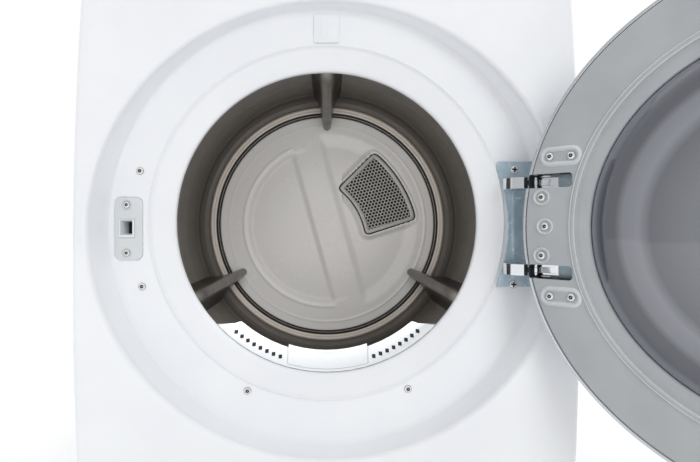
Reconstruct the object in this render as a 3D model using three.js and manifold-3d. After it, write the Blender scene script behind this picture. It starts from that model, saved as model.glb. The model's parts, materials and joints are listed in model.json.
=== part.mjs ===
// Front-loading clothes dryer with its round door swung open, as an assembly of separate pieces.
// Millimetres, +X to the right, +Y into the cabinet, +Z up. The front faces -Y, the drum's axis runs
// along Y, and the origin is the centre of the base pan's underside.
import * as THREE from "three";
import { mergeVertices } from "three/addons/utils/BufferGeometryUtils.js";
import Module from "manifold-3d";

const wasm = await Module();
wasm.setup();

// ---- Driving dimensions ----
const GAP = 0.3; // between pieces that touch
const ROUND = 40; // facets of every large ring, the same on all so that nested rings clear each other
const SHEET = 1; // steel sheet
const HALF_WIDTH = 343;
const FRONT_Y = -350; // foremost line of the bowed front panel
const BACK_Y = 348; // outside of the rear panel
const SEAM_Y = -308; // where the front panel meets the side panels
const PANEL_LOW = 5;
const PANEL_TOP = 858;
const SIDE_TOP = 952;
const TOP_Z = 963;
const CONSOLE_BACK = -228;
const FOOT_DROP = 20; // the feet reach this far below the base pan

const BOW_DEPTH = 28; // how far the front panel falls back, BOW_HALF away from BOW_Z
const BOW_HALF = 400;
const BOW_Z = 413;

const DRUM_Z = 480; // height of the drum's axis
const DOOR_Z = 474; // height of the door's centre and of the recess
const RECESS_RADIUS = 309; // at the foot of the recess wall
const SHOULDER_RADIUS = 321;
const FLOOR_Y = -305; // the recess floor
const FUNNEL_RADIUS = 252; // where the floor starts to slope to the opening
const OPENING_RADIUS = 218;
const OPENING_Y = -293;

const DRUM_RADIUS = 324.2; // inside
const DRUM_FRONT_Y = -240;
const DRUM_BACK_Y = 302;
const DRUM_MOUTH = 247;
const DRUM_TAIL = 281;
const LIFTER_TIP = 228;
const LIFTER_ANGLES = [90, 210, 330];
const REAR_WALL_Y = 297;
const REAR_WALL_RADIUS = 275;
const PLATE_Y = 304; // the rear bulkhead's plate

const HINGE_X = 282;
const HINGE_Y = -346;
const HINGE_Z = 474.5;
const DOOR_OPEN = THREE.MathUtils.degToRad(136.7);
const DOOR_FACE_Y = -320; // the door's inner face when it is shut
const DOOR_RADIUS = 284.3; // the inner frame
const DOOR_SHELL_RADIUS = 290;
const GLASS_RADIUS = 206.5;
const KNUCKLE = [51, 66]; // the hinge arms' lower and upper faces, above and below HINGE_Z

const MOTOR_X = -125;
const MOTOR_Z = 86;
const BELT_RADIUS = 326.2; // inside of the belt where it wraps the drum
const BELT_THICK = 2.4;
const PULLEY_RADIUS = 10;
const IDLER_RADIUS = 20;
const IDLER_PIVOT = [-90, 20];
const DUCT_X = 40; // the exhaust duct
const DUCT_Z = 62;
const DUCT_RADIUS = 50;
const BLOWER_Y = [-258, -200]; // the blower housing's front and back
const ROLLER = { radius: 34, angles: [[-125, "left"], [-55, "right"]], y: [258, 280], shaft: 6 };

const FEET = [[-290, -262], [290, -262], [-290, 300], [290, 300]];
const CONTROL_Z = 910; // height of the knob and the buttons
const CONTROL_Y = -321; // front of the knob's flange and the buttons
const BUTTON_X = [-150, -110, 255, 295];
const TERMINAL = { x: [-262, -198], z: [818, 882] }; // the hole in the rear panel for its cover
const GRILLE = [[221, 56.5], [95, 72.6], [103, -16], [229, 3.2]]; // corners: radius and angle
const LATCH = { x: [-303.5, -262.5], z: [426, 516], socketX: [-296, -274], socketZ: [458.5, 484.5] };
const LINT_ROUND = 72; // facets of the lint cover's ring
const LINT = { from: 222, to: 319, filterX: [-56.5, 60.5], front: -290.5, lip: 199, back: -264 };
const SLOT = { x: [228, 300], low: 49.5, high: 67.5 }; // where the hinge arms enter the door
const PLATE = [-354.2, -352]; // the hinge plate's thickness, deep inside the door

// ---- Solids ----
const radians = THREE.MathUtils.degToRad;

function solid(geometry) {
  const bare = geometry.clone();
  for (const name of Object.keys(bare.attributes)) {
    if (name !== "position") bare.deleteAttribute(name);
  }
  const merged = mergeVertices(bare, 1e-4);
  const kept = [];
  const index = merged.index.array;
  for (let i = 0; i < index.length; i += 3) {
    const [a, b, c] = [index[i], index[i + 1], index[i + 2]];
    if (a !== b && b !== c && c !== a) kept.push(a, b, c);
  }
  const vertProperties = new Float32Array(merged.attributes.position.array);
  const triVerts = new Uint32Array(kept);
  return new wasm.Manifold(new wasm.Mesh({ numProp: 3, vertProperties, triVerts }));
}

function geometryOf(body) {
  const mesh = body.getMesh();
  const geometry = new THREE.BufferGeometry();
  geometry.setAttribute("position", new THREE.BufferAttribute(new Float32Array(mesh.vertProperties), 3));
  geometry.setIndex(new THREE.BufferAttribute(new Uint32Array(mesh.triVerts), 1));
  geometry.computeVertexNormals();
  return geometry;
}

function block(x, y, z) {
  const box = new THREE.BoxGeometry(x[1] - x[0], y[1] - y[0], z[1] - z[0]);
  return solid(box.translate((x[0] + x[1]) / 2, (y[0] + y[1]) / 2, (z[0] + z[1]) / 2));
}

// A closed profile of [radius, y] points, turned about an axis along Y at (x, z).
function turned(profile, x = 0, z = 0, segments = ROUND) {
  const points = profile.map(([r, y]) => new THREE.Vector2(r, y));
  if (THREE.ShapeUtils.area(points) < 0) points.reverse();
  points.push(points[0].clone());
  return solid(new THREE.LatheGeometry(points, segments).translate(x, 0, z));
}

function rodY(x, z, radius, y, segments = 24) {
  return turned([[0, y[0]], [radius, y[0]], [radius, y[1]], [0, y[1]]], x, z, segments);
}

function ringY(x, z, inner, outer, y, segments = ROUND) {
  return turned([[inner, y[0]], [outer, y[0]], [outer, y[1]], [inner, y[1]]], x, z, segments);
}

function rodZ(x, y, radius, z, segments = 12) {
  const rod = new THREE.CylinderGeometry(radius, radius, z[1] - z[0], segments);
  return solid(rod.rotateX(Math.PI / 2).translate(x, y, (z[0] + z[1]) / 2));
}

function extruded(outline, depth) {
  const shape = outline instanceof THREE.Shape ? outline : new THREE.Shape(
    outline.map(([a, b]) => new THREE.Vector2(a, b)));
  return new THREE.ExtrudeGeometry(shape, { depth, bevelEnabled: false, curveSegments: 6 });
}

// An outline of [x, y] points, raised along Z.
function prismZ(outline, z) {
  return solid(extruded(outline, z[1] - z[0]).translate(0, 0, z[0]));
}

// An outline of [x, z] points, carried along Y.
function prismY(outline, y) {
  return solid(extruded(outline, y[1] - y[0]).rotateX(Math.PI / 2).translate(0, y[1], 0));
}

// An outline of [y, z] points, carried along X.
function prismX(outline, x) {
  const turn = new THREE.Matrix4().makeBasis(
    new THREE.Vector3(0, 1, 0), new THREE.Vector3(0, 0, 1), new THREE.Vector3(1, 0, 0));
  return solid(extruded(outline, x[1] - x[0]).applyMatrix4(turn).translate(x[0], 0, 0));
}

function roundedRect(x0, x1, z0, z1, r) {
  const shape = new THREE.Shape();
  shape.absarc(x1 - r, z0 + r, r, -Math.PI / 2, 0);
  shape.absarc(x1 - r, z1 - r, r, 0, Math.PI / 2);
  shape.absarc(x0 + r, z1 - r, r, Math.PI / 2, Math.PI);
  shape.absarc(x0 + r, z0 + r, r, Math.PI, 1.5 * Math.PI);
  return shape;
}

function polar(radius, degrees, x = 0, z = 0) {
  return [x + radius * Math.cos(radians(degrees)), z + radius * Math.sin(radians(degrees))];
}

// A pie slice about the drum's axis, used to cut a sector out of a ring.
function slice(from, to, radius, y) {
  const outline = [[0, DRUM_Z]];
  const steps = 12;
  for (let i = 0; i <= steps; i += 1) {
    outline.push(polar(radius, from + ((to - from) * i) / steps, 0, DRUM_Z));
  }
  return prismY(outline, y);
}

// ---- The assembly ----
const dryer = new THREE.Group();
const door = new THREE.Group();
door.position.set(HINGE_X, HINGE_Y, 0);
door.rotation.z = DOOR_OPEN;
dryer.add(door);

const finishes = {
  white: { color: 0xf1f3f6, roughness: 0.25 },
  zincPlate: { color: 0xb9bcbe, roughness: 0.45, metalness: 0.8 },
  zinc: { color: 0x93a6b0, roughness: 0.3, metalness: 0.9 },
  chrome: { color: 0xdfe4e8, roughness: 0.08, metalness: 1 },
  drumPaint: { color: 0x6b6660, roughness: 0.4 },
  rearWall: { color: 0xb2b0ad, roughness: 0.4, metalness: 0.3 },
  steel: { color: 0x9a9893, roughness: 0.35, metalness: 0.9 },
  smokyPlastic: { color: 0x4a4843, roughness: 0.25 },
  whitePlastic: { color: 0xeff1f3, roughness: 0.35 },
  greyPlastic: { color: 0xb0b3b4, roughness: 0.4 },
  darkPlastic: { color: 0x2b2d30, roughness: 0.45 },
  smokyGlass: { color: 0x3e4248, roughness: 0.05 },
  silver: { color: 0xc8ccd0, roughness: 0.25, metalness: 0.8 },
  felt: { color: 0x55524d, roughness: 0.95 },
  rubber: { color: 0x1d1d1e, roughness: 0.8 },
  motorIron: { color: 0x5f6468, roughness: 0.5, metalness: 0.7 },
};

function add(name, body, finish, parent = dryer) {
  const geometry = geometryOf(body);
  if (parent === door) geometry.translate(-HINGE_X, -HINGE_Y, 0);
  const mesh = new THREE.Mesh(geometry, new THREE.MeshStandardMaterial(finishes[finish]));
  mesh.name = name;
  parent.add(mesh);
}

// ---- Cabinet ----
const sides = [["left", -1], ["right", 1]];

function tray(x, y, z, wall, openTop) {
  const inner = openTop ? [z[0] + wall, z[1] + wall] : [z[0] - wall, z[1] - wall];
  const hollow = block([x[0] + wall, x[1] - wall], [y[0] + wall, y[1] - wall], inner);
  return block(x, y, z).subtract(hollow);
}

// The round hole that the exhaust duct goes through, in a wall at y.
function ductPassage(y) {
  return rodY(DUCT_X, DUCT_Z, DUCT_RADIUS + 1.5, [y - 10, y + 10], 32);
}

function basePan() {
  let pan = tray([-338, 338], [-304, 342], [0, 38], 1.5, true);
  for (const [x, y] of FEET) pan = pan.subtract(rodZ(x, y, 5.5, [-1, 5]));
  return pan.subtract(ductPassage(342));
}

function sidePanel(side) {
  const flange = 18;
  const front = SEAM_Y + GAP;
  const back = BACK_Y - SHEET - GAP;
  const outer = HALF_WIDTH;
  const inner = HALF_WIDTH - SHEET;
  const outline = [
    [outer, front], [outer, back], [outer - flange, back], [outer - flange, back - SHEET],
    [inner, back - SHEET], [inner, front + SHEET], [outer - flange, front + SHEET], [outer - flange, front],
  ].map(([x, y]) => [side * x, y]);
  if (side < 0) outline.reverse();
  const consoleNotch = block([-400, 400], [-330, CONSOLE_BACK + GAP], [PANEL_TOP + 2, SIDE_TOP + 5]);
  return prismZ(outline, [3, SIDE_TOP]).subtract(consoleNotch);
}

function rearPanel() {
  const panel = block([-342, 342], [BACK_Y - SHEET, BACK_Y], [4, SIDE_TOP]);
  return panel
    .subtract(ductPassage(BACK_Y))
    .subtract(block(TERMINAL.x, [BACK_Y - 5, BACK_Y + 5], TERMINAL.z));
}

function bowAt(z) {
  return FRONT_Y + BOW_DEPTH * ((z - BOW_Z) / BOW_HALF) ** 2;
}

function bowOutline(offset, low, high, back) {
  const outline = [[back, high], [back, low]];
  const steps = 10;
  for (let i = 0; i <= steps; i += 1) {
    const z = low + ((high - low) * i) / steps;
    outline.push([bowAt(z) + offset, z]);
  }
  return outline.reverse();
}

function recessCavity() {
  return turned([
    [0, -420], [SHOULDER_RADIUS + 8, -420], [SHOULDER_RADIUS + 8, -352], [SHOULDER_RADIUS + 2, -347],
    [SHOULDER_RADIUS - 1, -341], [RECESS_RADIUS + 1, FLOOR_Y - 3], [RECESS_RADIUS - 2, FLOOR_Y], [0, FLOOR_Y],
  ], 0, DOOR_Z);
}

function recessCup(t) {
  const cup = turned([
    [SHOULDER_RADIUS + 8, -352], [SHOULDER_RADIUS + 2, -347], [SHOULDER_RADIUS - 1, -341],
    [RECESS_RADIUS + 1, FLOOR_Y - 3], [RECESS_RADIUS - 2, FLOOR_Y], [0, FLOOR_Y], [0, FLOOR_Y + t],
    [RECESS_RADIUS - 1, FLOOR_Y + t], [RECESS_RADIUS + 1 + t, FLOOR_Y - 2], [SHOULDER_RADIUS + 1, -340],
    [SHOULDER_RADIUS + 4, -345], [SHOULDER_RADIUS + 10, -349],
  ], 0, DOOR_Z);
  const funnel = turned([
    [FUNNEL_RADIUS + 1, FLOOR_Y], [OPENING_RADIUS, OPENING_Y], [OPENING_RADIUS, OPENING_Y + 7],
    [OPENING_RADIUS + t, OPENING_Y + 7], [OPENING_RADIUS + t, OPENING_Y + t], [FUNNEL_RADIUS + 1, FLOOR_Y + t],
  ], 0, DRUM_Z);
  return cup.subtract(rodY(0, DRUM_Z, FUNNEL_RADIUS, [-330, -280], ROUND)).add(funnel);
}

function frontPanel() {
  const t = 1.2;
  const full = [-HALF_WIDTH, HALF_WIDTH];
  const inside = [-HALF_WIDTH + t, HALF_WIDTH - t];
  const outer = prismX(bowOutline(0, PANEL_LOW, PANEL_TOP, SEAM_Y), full);
  const inner = prismX(bowOutline(t, PANEL_LOW + t, PANEL_TOP - t, -200), inside);
  const behindBow = prismX(bowOutline(0, PANEL_LOW, PANEL_TOP, -200), full);
  const shell = outer.subtract(inner).subtract(recessCavity());
  const window = prismY(roundedRect(
    LATCH.x[0] - GAP, LATCH.x[1] + GAP, LATCH.z[0] - GAP, LATCH.z[1] + GAP, 10), [-330, -280]);
  return shell.add(recessCup(t).intersect(behindBow)).subtract(window);
}

function controlConsole() {
  const outer = [
    [CONSOLE_BACK, PANEL_TOP + 3], [CONSOLE_BACK, TOP_Z], [-282, TOP_Z], [-296, 957], [-303, 946],
    [-314, 895], [-315.5, PANEL_TOP + 3],
  ];
  const inner = [
    [CONSOLE_BACK + 1, PANEL_TOP + 5.5], [CONSOLE_BACK + 1, TOP_Z - 2.5], [-281, TOP_Z - 2.5],
    [-293.5, 955], [-300.5, 945], [-311.5, 895], [-313, PANEL_TOP + 5.5],
  ];
  let body = prismX(outer, [-HALF_WIDTH, HALF_WIDTH]);
  body = body.subtract(prismX(inner, [-HALF_WIDTH + 2.5, HALF_WIDTH - 2.5]));
  body = body.subtract(rodY(0, CONTROL_Z, 14, [-330, -290], 24));
  body = body.subtract(block([98, 212], [-330, -290], [888, 932]));
  for (const x of BUTTON_X) body = body.subtract(rodY(x, CONTROL_Z, 9.5, [-330, -290], 20));
  return body;
}

function cabinet() {
  add("base_pan", basePan(), "zincPlate");
  for (const [name, side] of sides) add(`side_panel_${name}`, sidePanel(side), "white");
  add("rear_panel", rearPanel(), "zincPlate");
  const lid = tray([-HALF_WIDTH, HALF_WIDTH], [CONSOLE_BACK + 1, BACK_Y], [SIDE_TOP + GAP, TOP_Z], SHEET, false);
  add("top_panel", lid, "white");
  add("front_panel", frontPanel(), "white");
  FEET.forEach(([x, y], i) => {
    const pad = rodZ(x, y, 19, [-FOOT_DROP, -12], 20).add(rodZ(x, y, 5, [-13, 26]));
    add(`levelling_foot_${i + 1}`, pad, "rubber");
  });
  const inside = ([low, high]) => [low + 2 * GAP, high - 2 * GAP];
  const cover = tray(inside(TERMINAL.x), [BACK_Y - 12, BACK_Y + 10], inside(TERMINAL.z), 2, true);
  add("terminal_cover", cover, "darkPlastic");
}

function controls() {
  add("control_console", controlConsole(), "whitePlastic");
  add("display_lens", block([98.5, 211.5], [-314.5, -309], [888.5, 931.5]), "darkPlastic");
  const knob = turned([
    [0, -345], [24, -345], [27, -342], [28, -322], [31, -320], [31, -317], [13, -317], [13, -300], [0, -300],
  ], 0, CONTROL_Z, 24);
  add("program_knob", knob, "silver");
  BUTTON_X.forEach((x, i) => {
    const cap = turned([
      [0, CONTROL_Y - 1], [7, CONTROL_Y - 1], [9, CONTROL_Y + 1], [9, -300], [0, -300],
    ], x, CONTROL_Z, 16);
    add(`push_button_${i + 1}`, cap, "silver");
  });
}

// ---- Drum and its supports ----
function drumShell() {
  const t = SHEET;
  const r = DRUM_RADIUS;
  return turned([
    [DRUM_MOUTH, DRUM_FRONT_Y], [r - 8, DRUM_FRONT_Y], [r, DRUM_FRONT_Y + 8],
    [r, 283], [r - 3, 292], [r - 10, 298], [r - 21, 300.5], [DRUM_TAIL, DRUM_BACK_Y - t],
    [DRUM_TAIL, DRUM_BACK_Y], [r - 21, 301.5], [r - 9.5, 299], [r - 2, 292.5], [r + t, 283.2],
    [r + t, DRUM_FRONT_Y + 7.6], [r - 7.6, DRUM_FRONT_Y - t], [DRUM_MOUTH, DRUM_FRONT_Y - t],
  ], 0, DRUM_Z);
}

function lifter(angle) {
  const half = [[34, 321], [31, 314], [25, 306], [18, 288], [13, 262], [10, 240], [7, 231], [0, LIFTER_TIP]];
  const hollow = [[31, 323], [28, 314], [22, 306], [15, 288], [10, 262], [7, 240], [0, LIFTER_TIP + 4]];
  const turn = radians(angle - 90);
  const placed = (side) => [...side, ...side.slice(0, -1).reverse().map(([x, r]) => [-x, r])].map(([x, r]) => [
    x * Math.cos(turn) - r * Math.sin(turn), DRUM_Z + x * Math.sin(turn) + r * Math.cos(turn),
  ]);
  return prismY(placed(half), [-212, 276]).subtract(prismY(placed(hollow), [-209, 273]));
}

function frontBulkhead() {
  const plate = block([-330, 330], [-262, -261], [60, 850]).subtract(rodY(0, DRUM_Z, 239, [-280, -250], ROUND));
  const collar = turned([
    [238, -262], [239, -262], [239, -261], [239, -236], [238, -236],
  ], 0, DRUM_Z);
  const ductHole = block([-62, 62], [-280, -250], [55, 266]);
  const blowerHole = rodY(MOTOR_X, MOTOR_Z, 56, [-280, -250], 32);
  return plate.add(ringY(0, DRUM_Z, 238, 240, [-262, -261])).add(collar)
    .subtract(ductHole.subtract(rodY(0, DRUM_Z, 241, [-300, -200], ROUND)))
    .subtract(blowerHole);
}

// The grille's patch: straight sides, a hollow inner edge, a bulging outer edge and round corners.
function grilleOutline(grow) {
  const middle = [112, 555];
  const [top, left, low, right] = GRILLE.map(([r, a]) => polar(r, a, 0, DRUM_Z));
  const outline = [];
  const side = (from, to, bulge) => {
    for (let i = 0; i < 5; i += 1) {
      const t = (i + 0.5) / 5;
      const lift = bulge * 4 * t * (1 - t);
      const [dx, dz] = [to[0] - from[0], to[1] - from[1]];
      const length = Math.hypot(dx, dz);
      outline.push([from[0] + dx * t - (dz / length) * lift, from[1] + dz * t + (dx / length) * lift]);
    }
  };
  side(top, left, 0);
  side(left, low, 14);
  side(low, right, 0);
  side(right, top, -16);
  return outline.map(([x, z]) => {
    const reach = Math.hypot(x - middle[0], z - middle[1]);
    return [x + ((x - middle[0]) * grow) / reach, z + ((z - middle[1]) * grow) / reach];
  });
}

function rearBulkhead() {
  const y = REAR_WALL_Y;
  const plate = block([-330, 330], [PLATE_Y, PLATE_Y + SHEET], [60, 900]);
  const pan = turned([
    [0, y + 8], [192, y + 8], [205, y], [REAR_WALL_RADIUS - 3, y], [REAR_WALL_RADIUS, y + 3],
    [REAR_WALL_RADIUS, PLATE_Y + SHEET], [REAR_WALL_RADIUS - SHEET, PLATE_Y + SHEET],
    [REAR_WALL_RADIUS - SHEET, y + 3.5], [REAR_WALL_RADIUS - 3.5, y + SHEET], [205.5, y + SHEET],
    [192.5, y + 8 + SHEET], [0, y + 8 + SHEET],
  ], 0, DRUM_Z);
  const bar = prismY([
    polar(240, 98, 0, DRUM_Z), polar(240, 113, 0, DRUM_Z), polar(240, -82, 0, DRUM_Z), polar(240, -67, 0, DRUM_Z),
  ], [y, y + 8.5]);
  const grilleHole = prismY(grilleOutline(0), [y - 20, y + 30]);
  return plate.subtract(rodY(0, DRUM_Z, REAR_WALL_RADIUS - SHEET / 2, [y, y + 30], ROUND)).add(pan).add(bar)
    .subtract(grilleHole).subtract(ductPassage(PLATE_Y));
}

function heaterHousing() {
  const outer = [[-20, 300], [262, 300], [262, 700], [140, 720], [-20, 640]];
  const inner = [[-18, 302], [260, 302], [260, 698.5], [139, 718], [-18, 638.5]];
  const y = [PLATE_Y + SHEET + 2, BACK_Y - 4];
  const box = prismY(outer, y).subtract(prismY(inner, [y[0] + 1.5, y[1] - 1.5]));
  return box.subtract(prismY(grilleOutline(-4), [y[0] - 5, y[0] + 5])).subtract(
    block([60, 180], y, [290, 310]));
}

function drumParts() {
  add("drum", drumShell(), "drumPaint");
  LIFTER_ANGLES.forEach((angle, i) => add(`drum_lifter_${i + 1}`, lifter(angle), "smokyPlastic"));
  add("front_bulkhead", frontBulkhead(), "zincPlate");
  add("rear_bulkhead", rearBulkhead(), "rearWall");
  add("air_grille", prismY(grilleOutline(-0.4), [REAR_WALL_Y + 1, REAR_WALL_Y + 3]), "steel");
  add("heater_housing", heaterHousing(), "zincPlate");
  add("front_felt_seal", ringY(0, DRUM_Z, 239 + GAP, DRUM_MOUTH - 1.4, [-243, -237]), "felt");
  add("rear_felt_seal", ringY(0, DRUM_Z, REAR_WALL_RADIUS + GAP, 279.5, [300.5, 303.5]), "felt");
  for (const [angle, name] of ROLLER.angles) {
    const [x, z] = polar(DRUM_RADIUS + SHEET + GAP + ROLLER.radius, angle, 0, DRUM_Z);
    add(`rear_roller_${name}`, ringY(x, z, ROLLER.shaft + GAP, ROLLER.radius, ROLLER.y, 40), "rubber");
    add(`roller_shaft_${name}`, rodY(x, z, ROLLER.shaft, [254, PLATE_Y - GAP], 16), "steel");
  }
}

// ---- Drive and air path ----
// The belt's outline: an arc over the drum, and the two straight runs down to the motor pulley.
function beltOutline(drumRadius, pulleyRadius) {
  const span = Math.hypot(MOTOR_X, DRUM_Z - MOTOR_Z);
  const up = Math.atan2(DRUM_Z - MOTOR_Z, -MOTOR_X);
  const lean = Math.acos(-(drumRadius - pulleyRadius) / span);
  const outline = [];
  const arc = (x, z, r, from, to, steps) => {
    for (let i = 0; i <= steps; i += 1) {
      const a = from + ((to - from) * i) / steps;
      outline.push([x + r * Math.cos(a), z + r * Math.sin(a)]);
    }
  };
  arc(0, DRUM_Z, drumRadius, up - lean, up + lean, 40);
  arc(MOTOR_X, MOTOR_Z, pulleyRadius, up + lean, up - lean + 2 * Math.PI, 8);
  return outline;
}

function idlerCentre() {
  const span = Math.hypot(MOTOR_X, DRUM_Z - MOTOR_Z);
  const outer = [BELT_RADIUS + BELT_THICK, PULLEY_RADIUS + GAP + BELT_THICK];
  const up = Math.atan2(DRUM_Z - MOTOR_Z, -MOTOR_X);
  const lean = Math.acos(-(outer[0] - outer[1]) / span);
  const normal = [Math.cos(up - lean), Math.sin(up - lean)];
  const along = [-normal[1], normal[0]];
  const start = [MOTOR_X + outer[1] * normal[0], MOTOR_Z + outer[1] * normal[1]];
  const reach = 66;
  const off = IDLER_RADIUS + GAP;
  return [start[0] + along[0] * reach + normal[0] * off, start[1] + along[1] * reach + normal[1] * off];
}

function idlerArm([x, z]) {
  const [px, pz] = IDLER_PIVOT;
  const [dx, dz] = [(x - px) / Math.hypot(x - px, z - pz), (z - pz) / Math.hypot(x - px, z - pz)];
  const bar = [
    [px - dz * 8, pz + dx * 8], [px + dz * 8, pz - dx * 8], [x + dz * 6, z - dx * 6], [x - dz * 6, z + dx * 6],
  ];
  return prismY(bar, [12, 15]).add(rodY(px, pz, 9, [12, 15])).add(rodY(x, z, 5, [-9, 15], 16));
}

function springCoil() {
  const turns = 6;
  class Coil extends THREE.Curve {
    getPoint(t, target = new THREE.Vector3()) {
      const a = 2 * Math.PI * turns * t;
      return target.set(-205 + 105 * t, 13.5 + 5 * Math.cos(a), 14 + 5 * Math.sin(a));
    }
  }
  const wire = new THREE.Shape().absarc(0, 0, 0.9, 0, 2 * Math.PI);
  return solid(new THREE.ExtrudeGeometry(wire, {
    steps: turns * 7, extrudePath: new Coil(), bevelEnabled: false, curveSegments: 3,
  }));
}

function motorBody() {
  return rodY(MOTOR_X, MOTOR_Z, 60, [-182, -36], 32)
    .add(block([MOTOR_X - 52, MOTOR_X + 52], [-170, -48], [2, 50]))
    .subtract(rodY(MOTOR_X, MOTOR_Z, 6.5, [-200, 0], 16));
}

function blowerHousing() {
  const [front, back] = BLOWER_Y;
  const outside = rodY(MOTOR_X, MOTOR_Z, 80, BLOWER_Y, 40).add(block([MOTOR_X, 94], BLOWER_Y, [8, 116]));
  const inside = [front + 2, back - 2];
  const hollow = rodY(MOTOR_X, MOTOR_Z, 78, inside, 40).add(block([MOTOR_X, 92], inside, [10, 114]));
  return outside.subtract(hollow)
    .subtract(rodY(MOTOR_X, MOTOR_Z, 55, [front - 5, front + 5], 32))
    .subtract(rodY(MOTOR_X, MOTOR_Z, 9, [back - 5, back + 5], 16))
    .subtract(rodY(DUCT_X, DUCT_Z, DUCT_RADIUS - 1.5, [back - 5, back + 5], 32));
}

function lintDuct() {
  const y = [-286, -263];
  const outer = [[-60, 259], [-215, 140], [-215, 34], [-40, 34], [60, 170], [60, 259]];
  const inner = [[-58, 270], [-58, 257], [-213, 139], [-213, 36], [-41, 36], [58, 171], [58, 270]];
  return prismY(outer, y).subtract(prismY(inner, [y[0] + 2, y[1] - 2]))
    .subtract(rodY(MOTOR_X, MOTOR_Z, 55, [y[1] - 5, y[1] + 5], 32));
}

function lintStrip(inner, t) {
  return turned([
    [OPENING_RADIUS + 1.5, OPENING_Y + 8], [OPENING_RADIUS - 0.8, OPENING_Y + 8], [OPENING_RADIUS - 0.8, LINT.front],
    [inner, -277], [inner - 3, LINT.back], [inner - 3 + t, LINT.back], [inner + t, -276],
    [OPENING_RADIUS - 4, OPENING_Y + 8 + t], [OPENING_RADIUS + 1.5, OPENING_Y + 8 + t],
  ], 0, DRUM_Z, LINT_ROUND);
}

function lintCover() {
  let cover = lintStrip(LINT.lip, 2.5).intersect(slice(LINT.from, LINT.to, 260, [-300, -250]));
  const gate = block([LINT.filterX[0] - 0.5, LINT.filterX[1] + 0.5], [-300, -250], [200, DRUM_Z]);
  cover = cover.subtract(gate.subtract(ringY(0, DRUM_Z, 214, 230, [-300, -240], LINT_ROUND)));
  const size = 5.2;
  for (const start of [230.5, 289.5]) {
    for (let i = 0; i < 8; i += 1) {
      const [x, z] = polar(208, start + 2.93 * i, 0, DRUM_Z);
      cover = cover.subtract(block(
        [x - size / 2, x + size / 2], [-300, -270], [z - size / 2, z + size / 2]));
    }
  }
  return cover;
}

function lintFilter() {
  const lip = turned([
    [213.5, -289], [194.5, -277], [191.5, -264], [194, -264], [197, -275.5], [213.5, -286],
  ], 0, DRUM_Z, LINT_ROUND).intersect(block(LINT.filterX, [-300, -250], [200, DRUM_Z]));
  const top = DRUM_Z - 192;
  const screen = block([-50, 50], [-277, -272], [175, top]);
  const windows = block([-44, 44], [-280, -270], [183, 250]).subtract(block([-2, 2], [-280, -270], [175, 260]));
  return lip.add(screen.subtract(windows));
}

function driveParts() {
  const half = 6;
  const inner = beltOutline(BELT_RADIUS, PULLEY_RADIUS + GAP);
  const outer = beltOutline(BELT_RADIUS + BELT_THICK, PULLEY_RADIUS + GAP + BELT_THICK);
  add("drum_belt", prismY(outer, [-half, half]).subtract(prismY(inner, [-20, 20])), "rubber");
  add("motor", motorBody(), "motorIron");
  add("motor_shaft", rodY(MOTOR_X, MOTOR_Z, 6, [-246, 12], 16), "steel");
  add("motor_pulley", ringY(MOTOR_X, MOTOR_Z, 6 + GAP, PULLEY_RADIUS, [-9, 9], 24), "steel");
  const wheel = turned([
    [6.3, -240], [14, -240], [14, -214], [70, -214], [70, -246], [73, -246], [73, -210], [6.3, -210],
  ], MOTOR_X, MOTOR_Z, 28);
  add("blower_wheel", wheel, "darkPlastic");
  add("blower_housing", blowerHousing(), "zincPlate");
  const [x, z] = idlerCentre();
  add("idler_arm", idlerArm([x, z]), "steel");
  add("idler_pulley", ringY(x, z, 5 + GAP, IDLER_RADIUS, [-8, 8], 32), "darkPlastic");
  add("idler_spring", springCoil(), "steel");
  const ductY = [BLOWER_Y[1] + GAP, BACK_Y + 8];
  add("exhaust_duct", ringY(DUCT_X, DUCT_Z, DUCT_RADIUS - 1, DUCT_RADIUS, ductY, 32), "zincPlate");
  add("lint_duct", lintDuct(), "darkPlastic");
  add("lint_duct_cover", lintCover(), "whitePlastic");
  add("lint_filter", lintFilter(), "whitePlastic");
}

// ---- Latch and small fittings on the recess floor ----
function fittings() {
  const y = FLOOR_Y + 0.8;
  const [sx, sz] = [LATCH.socketX, LATCH.socketZ];
  const plate = prismY(roundedRect(...LATCH.x, ...LATCH.z, 10), [y, y + 1.6]).subtract(
    block([sx[0] - GAP, sx[1] + GAP], [-330, -280], [sz[0] - GAP, sz[1] + GAP]));
  add("latch_plate", plate, "greyPlastic");
  const socket = block(sx, [FLOOR_Y - 1, -268], sz).subtract(
    block([-293, -278], [-330, -271], [463.5, 481.5]));
  add("latch_socket", socket, "greyPlastic");
  add("bumper_clip", prismY(roundedRect(-18.5, 18.5, 736, 776, 3), [FLOOR_Y - 2, FLOOR_Y - GAP]), "whitePlastic");
}

// ---- Hinge ----
function hingeBracket() {
  const waist = (z) => 243 + 16 * (1 - ((z - HINGE_Z) / 80) ** 2);
  const outline = [[293, HINGE_Z - 86], [293, HINGE_Z + 92], [243, HINGE_Z + 92]];
  const steps = 8;
  for (let i = 0; i <= steps; i += 1) {
    const z = HINGE_Z + 80 - (160 * i) / steps;
    outline.push([waist(z), z]);
  }
  outline.push([242, HINGE_Z - 86]);
  const plate = prismY(outline.reverse(), [-308.2, FLOOR_Y - 0.6]);
  return plate.add(block([264, 280], [-314, -308], [HINGE_Z - 50, HINGE_Z + 50]));
}

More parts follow.
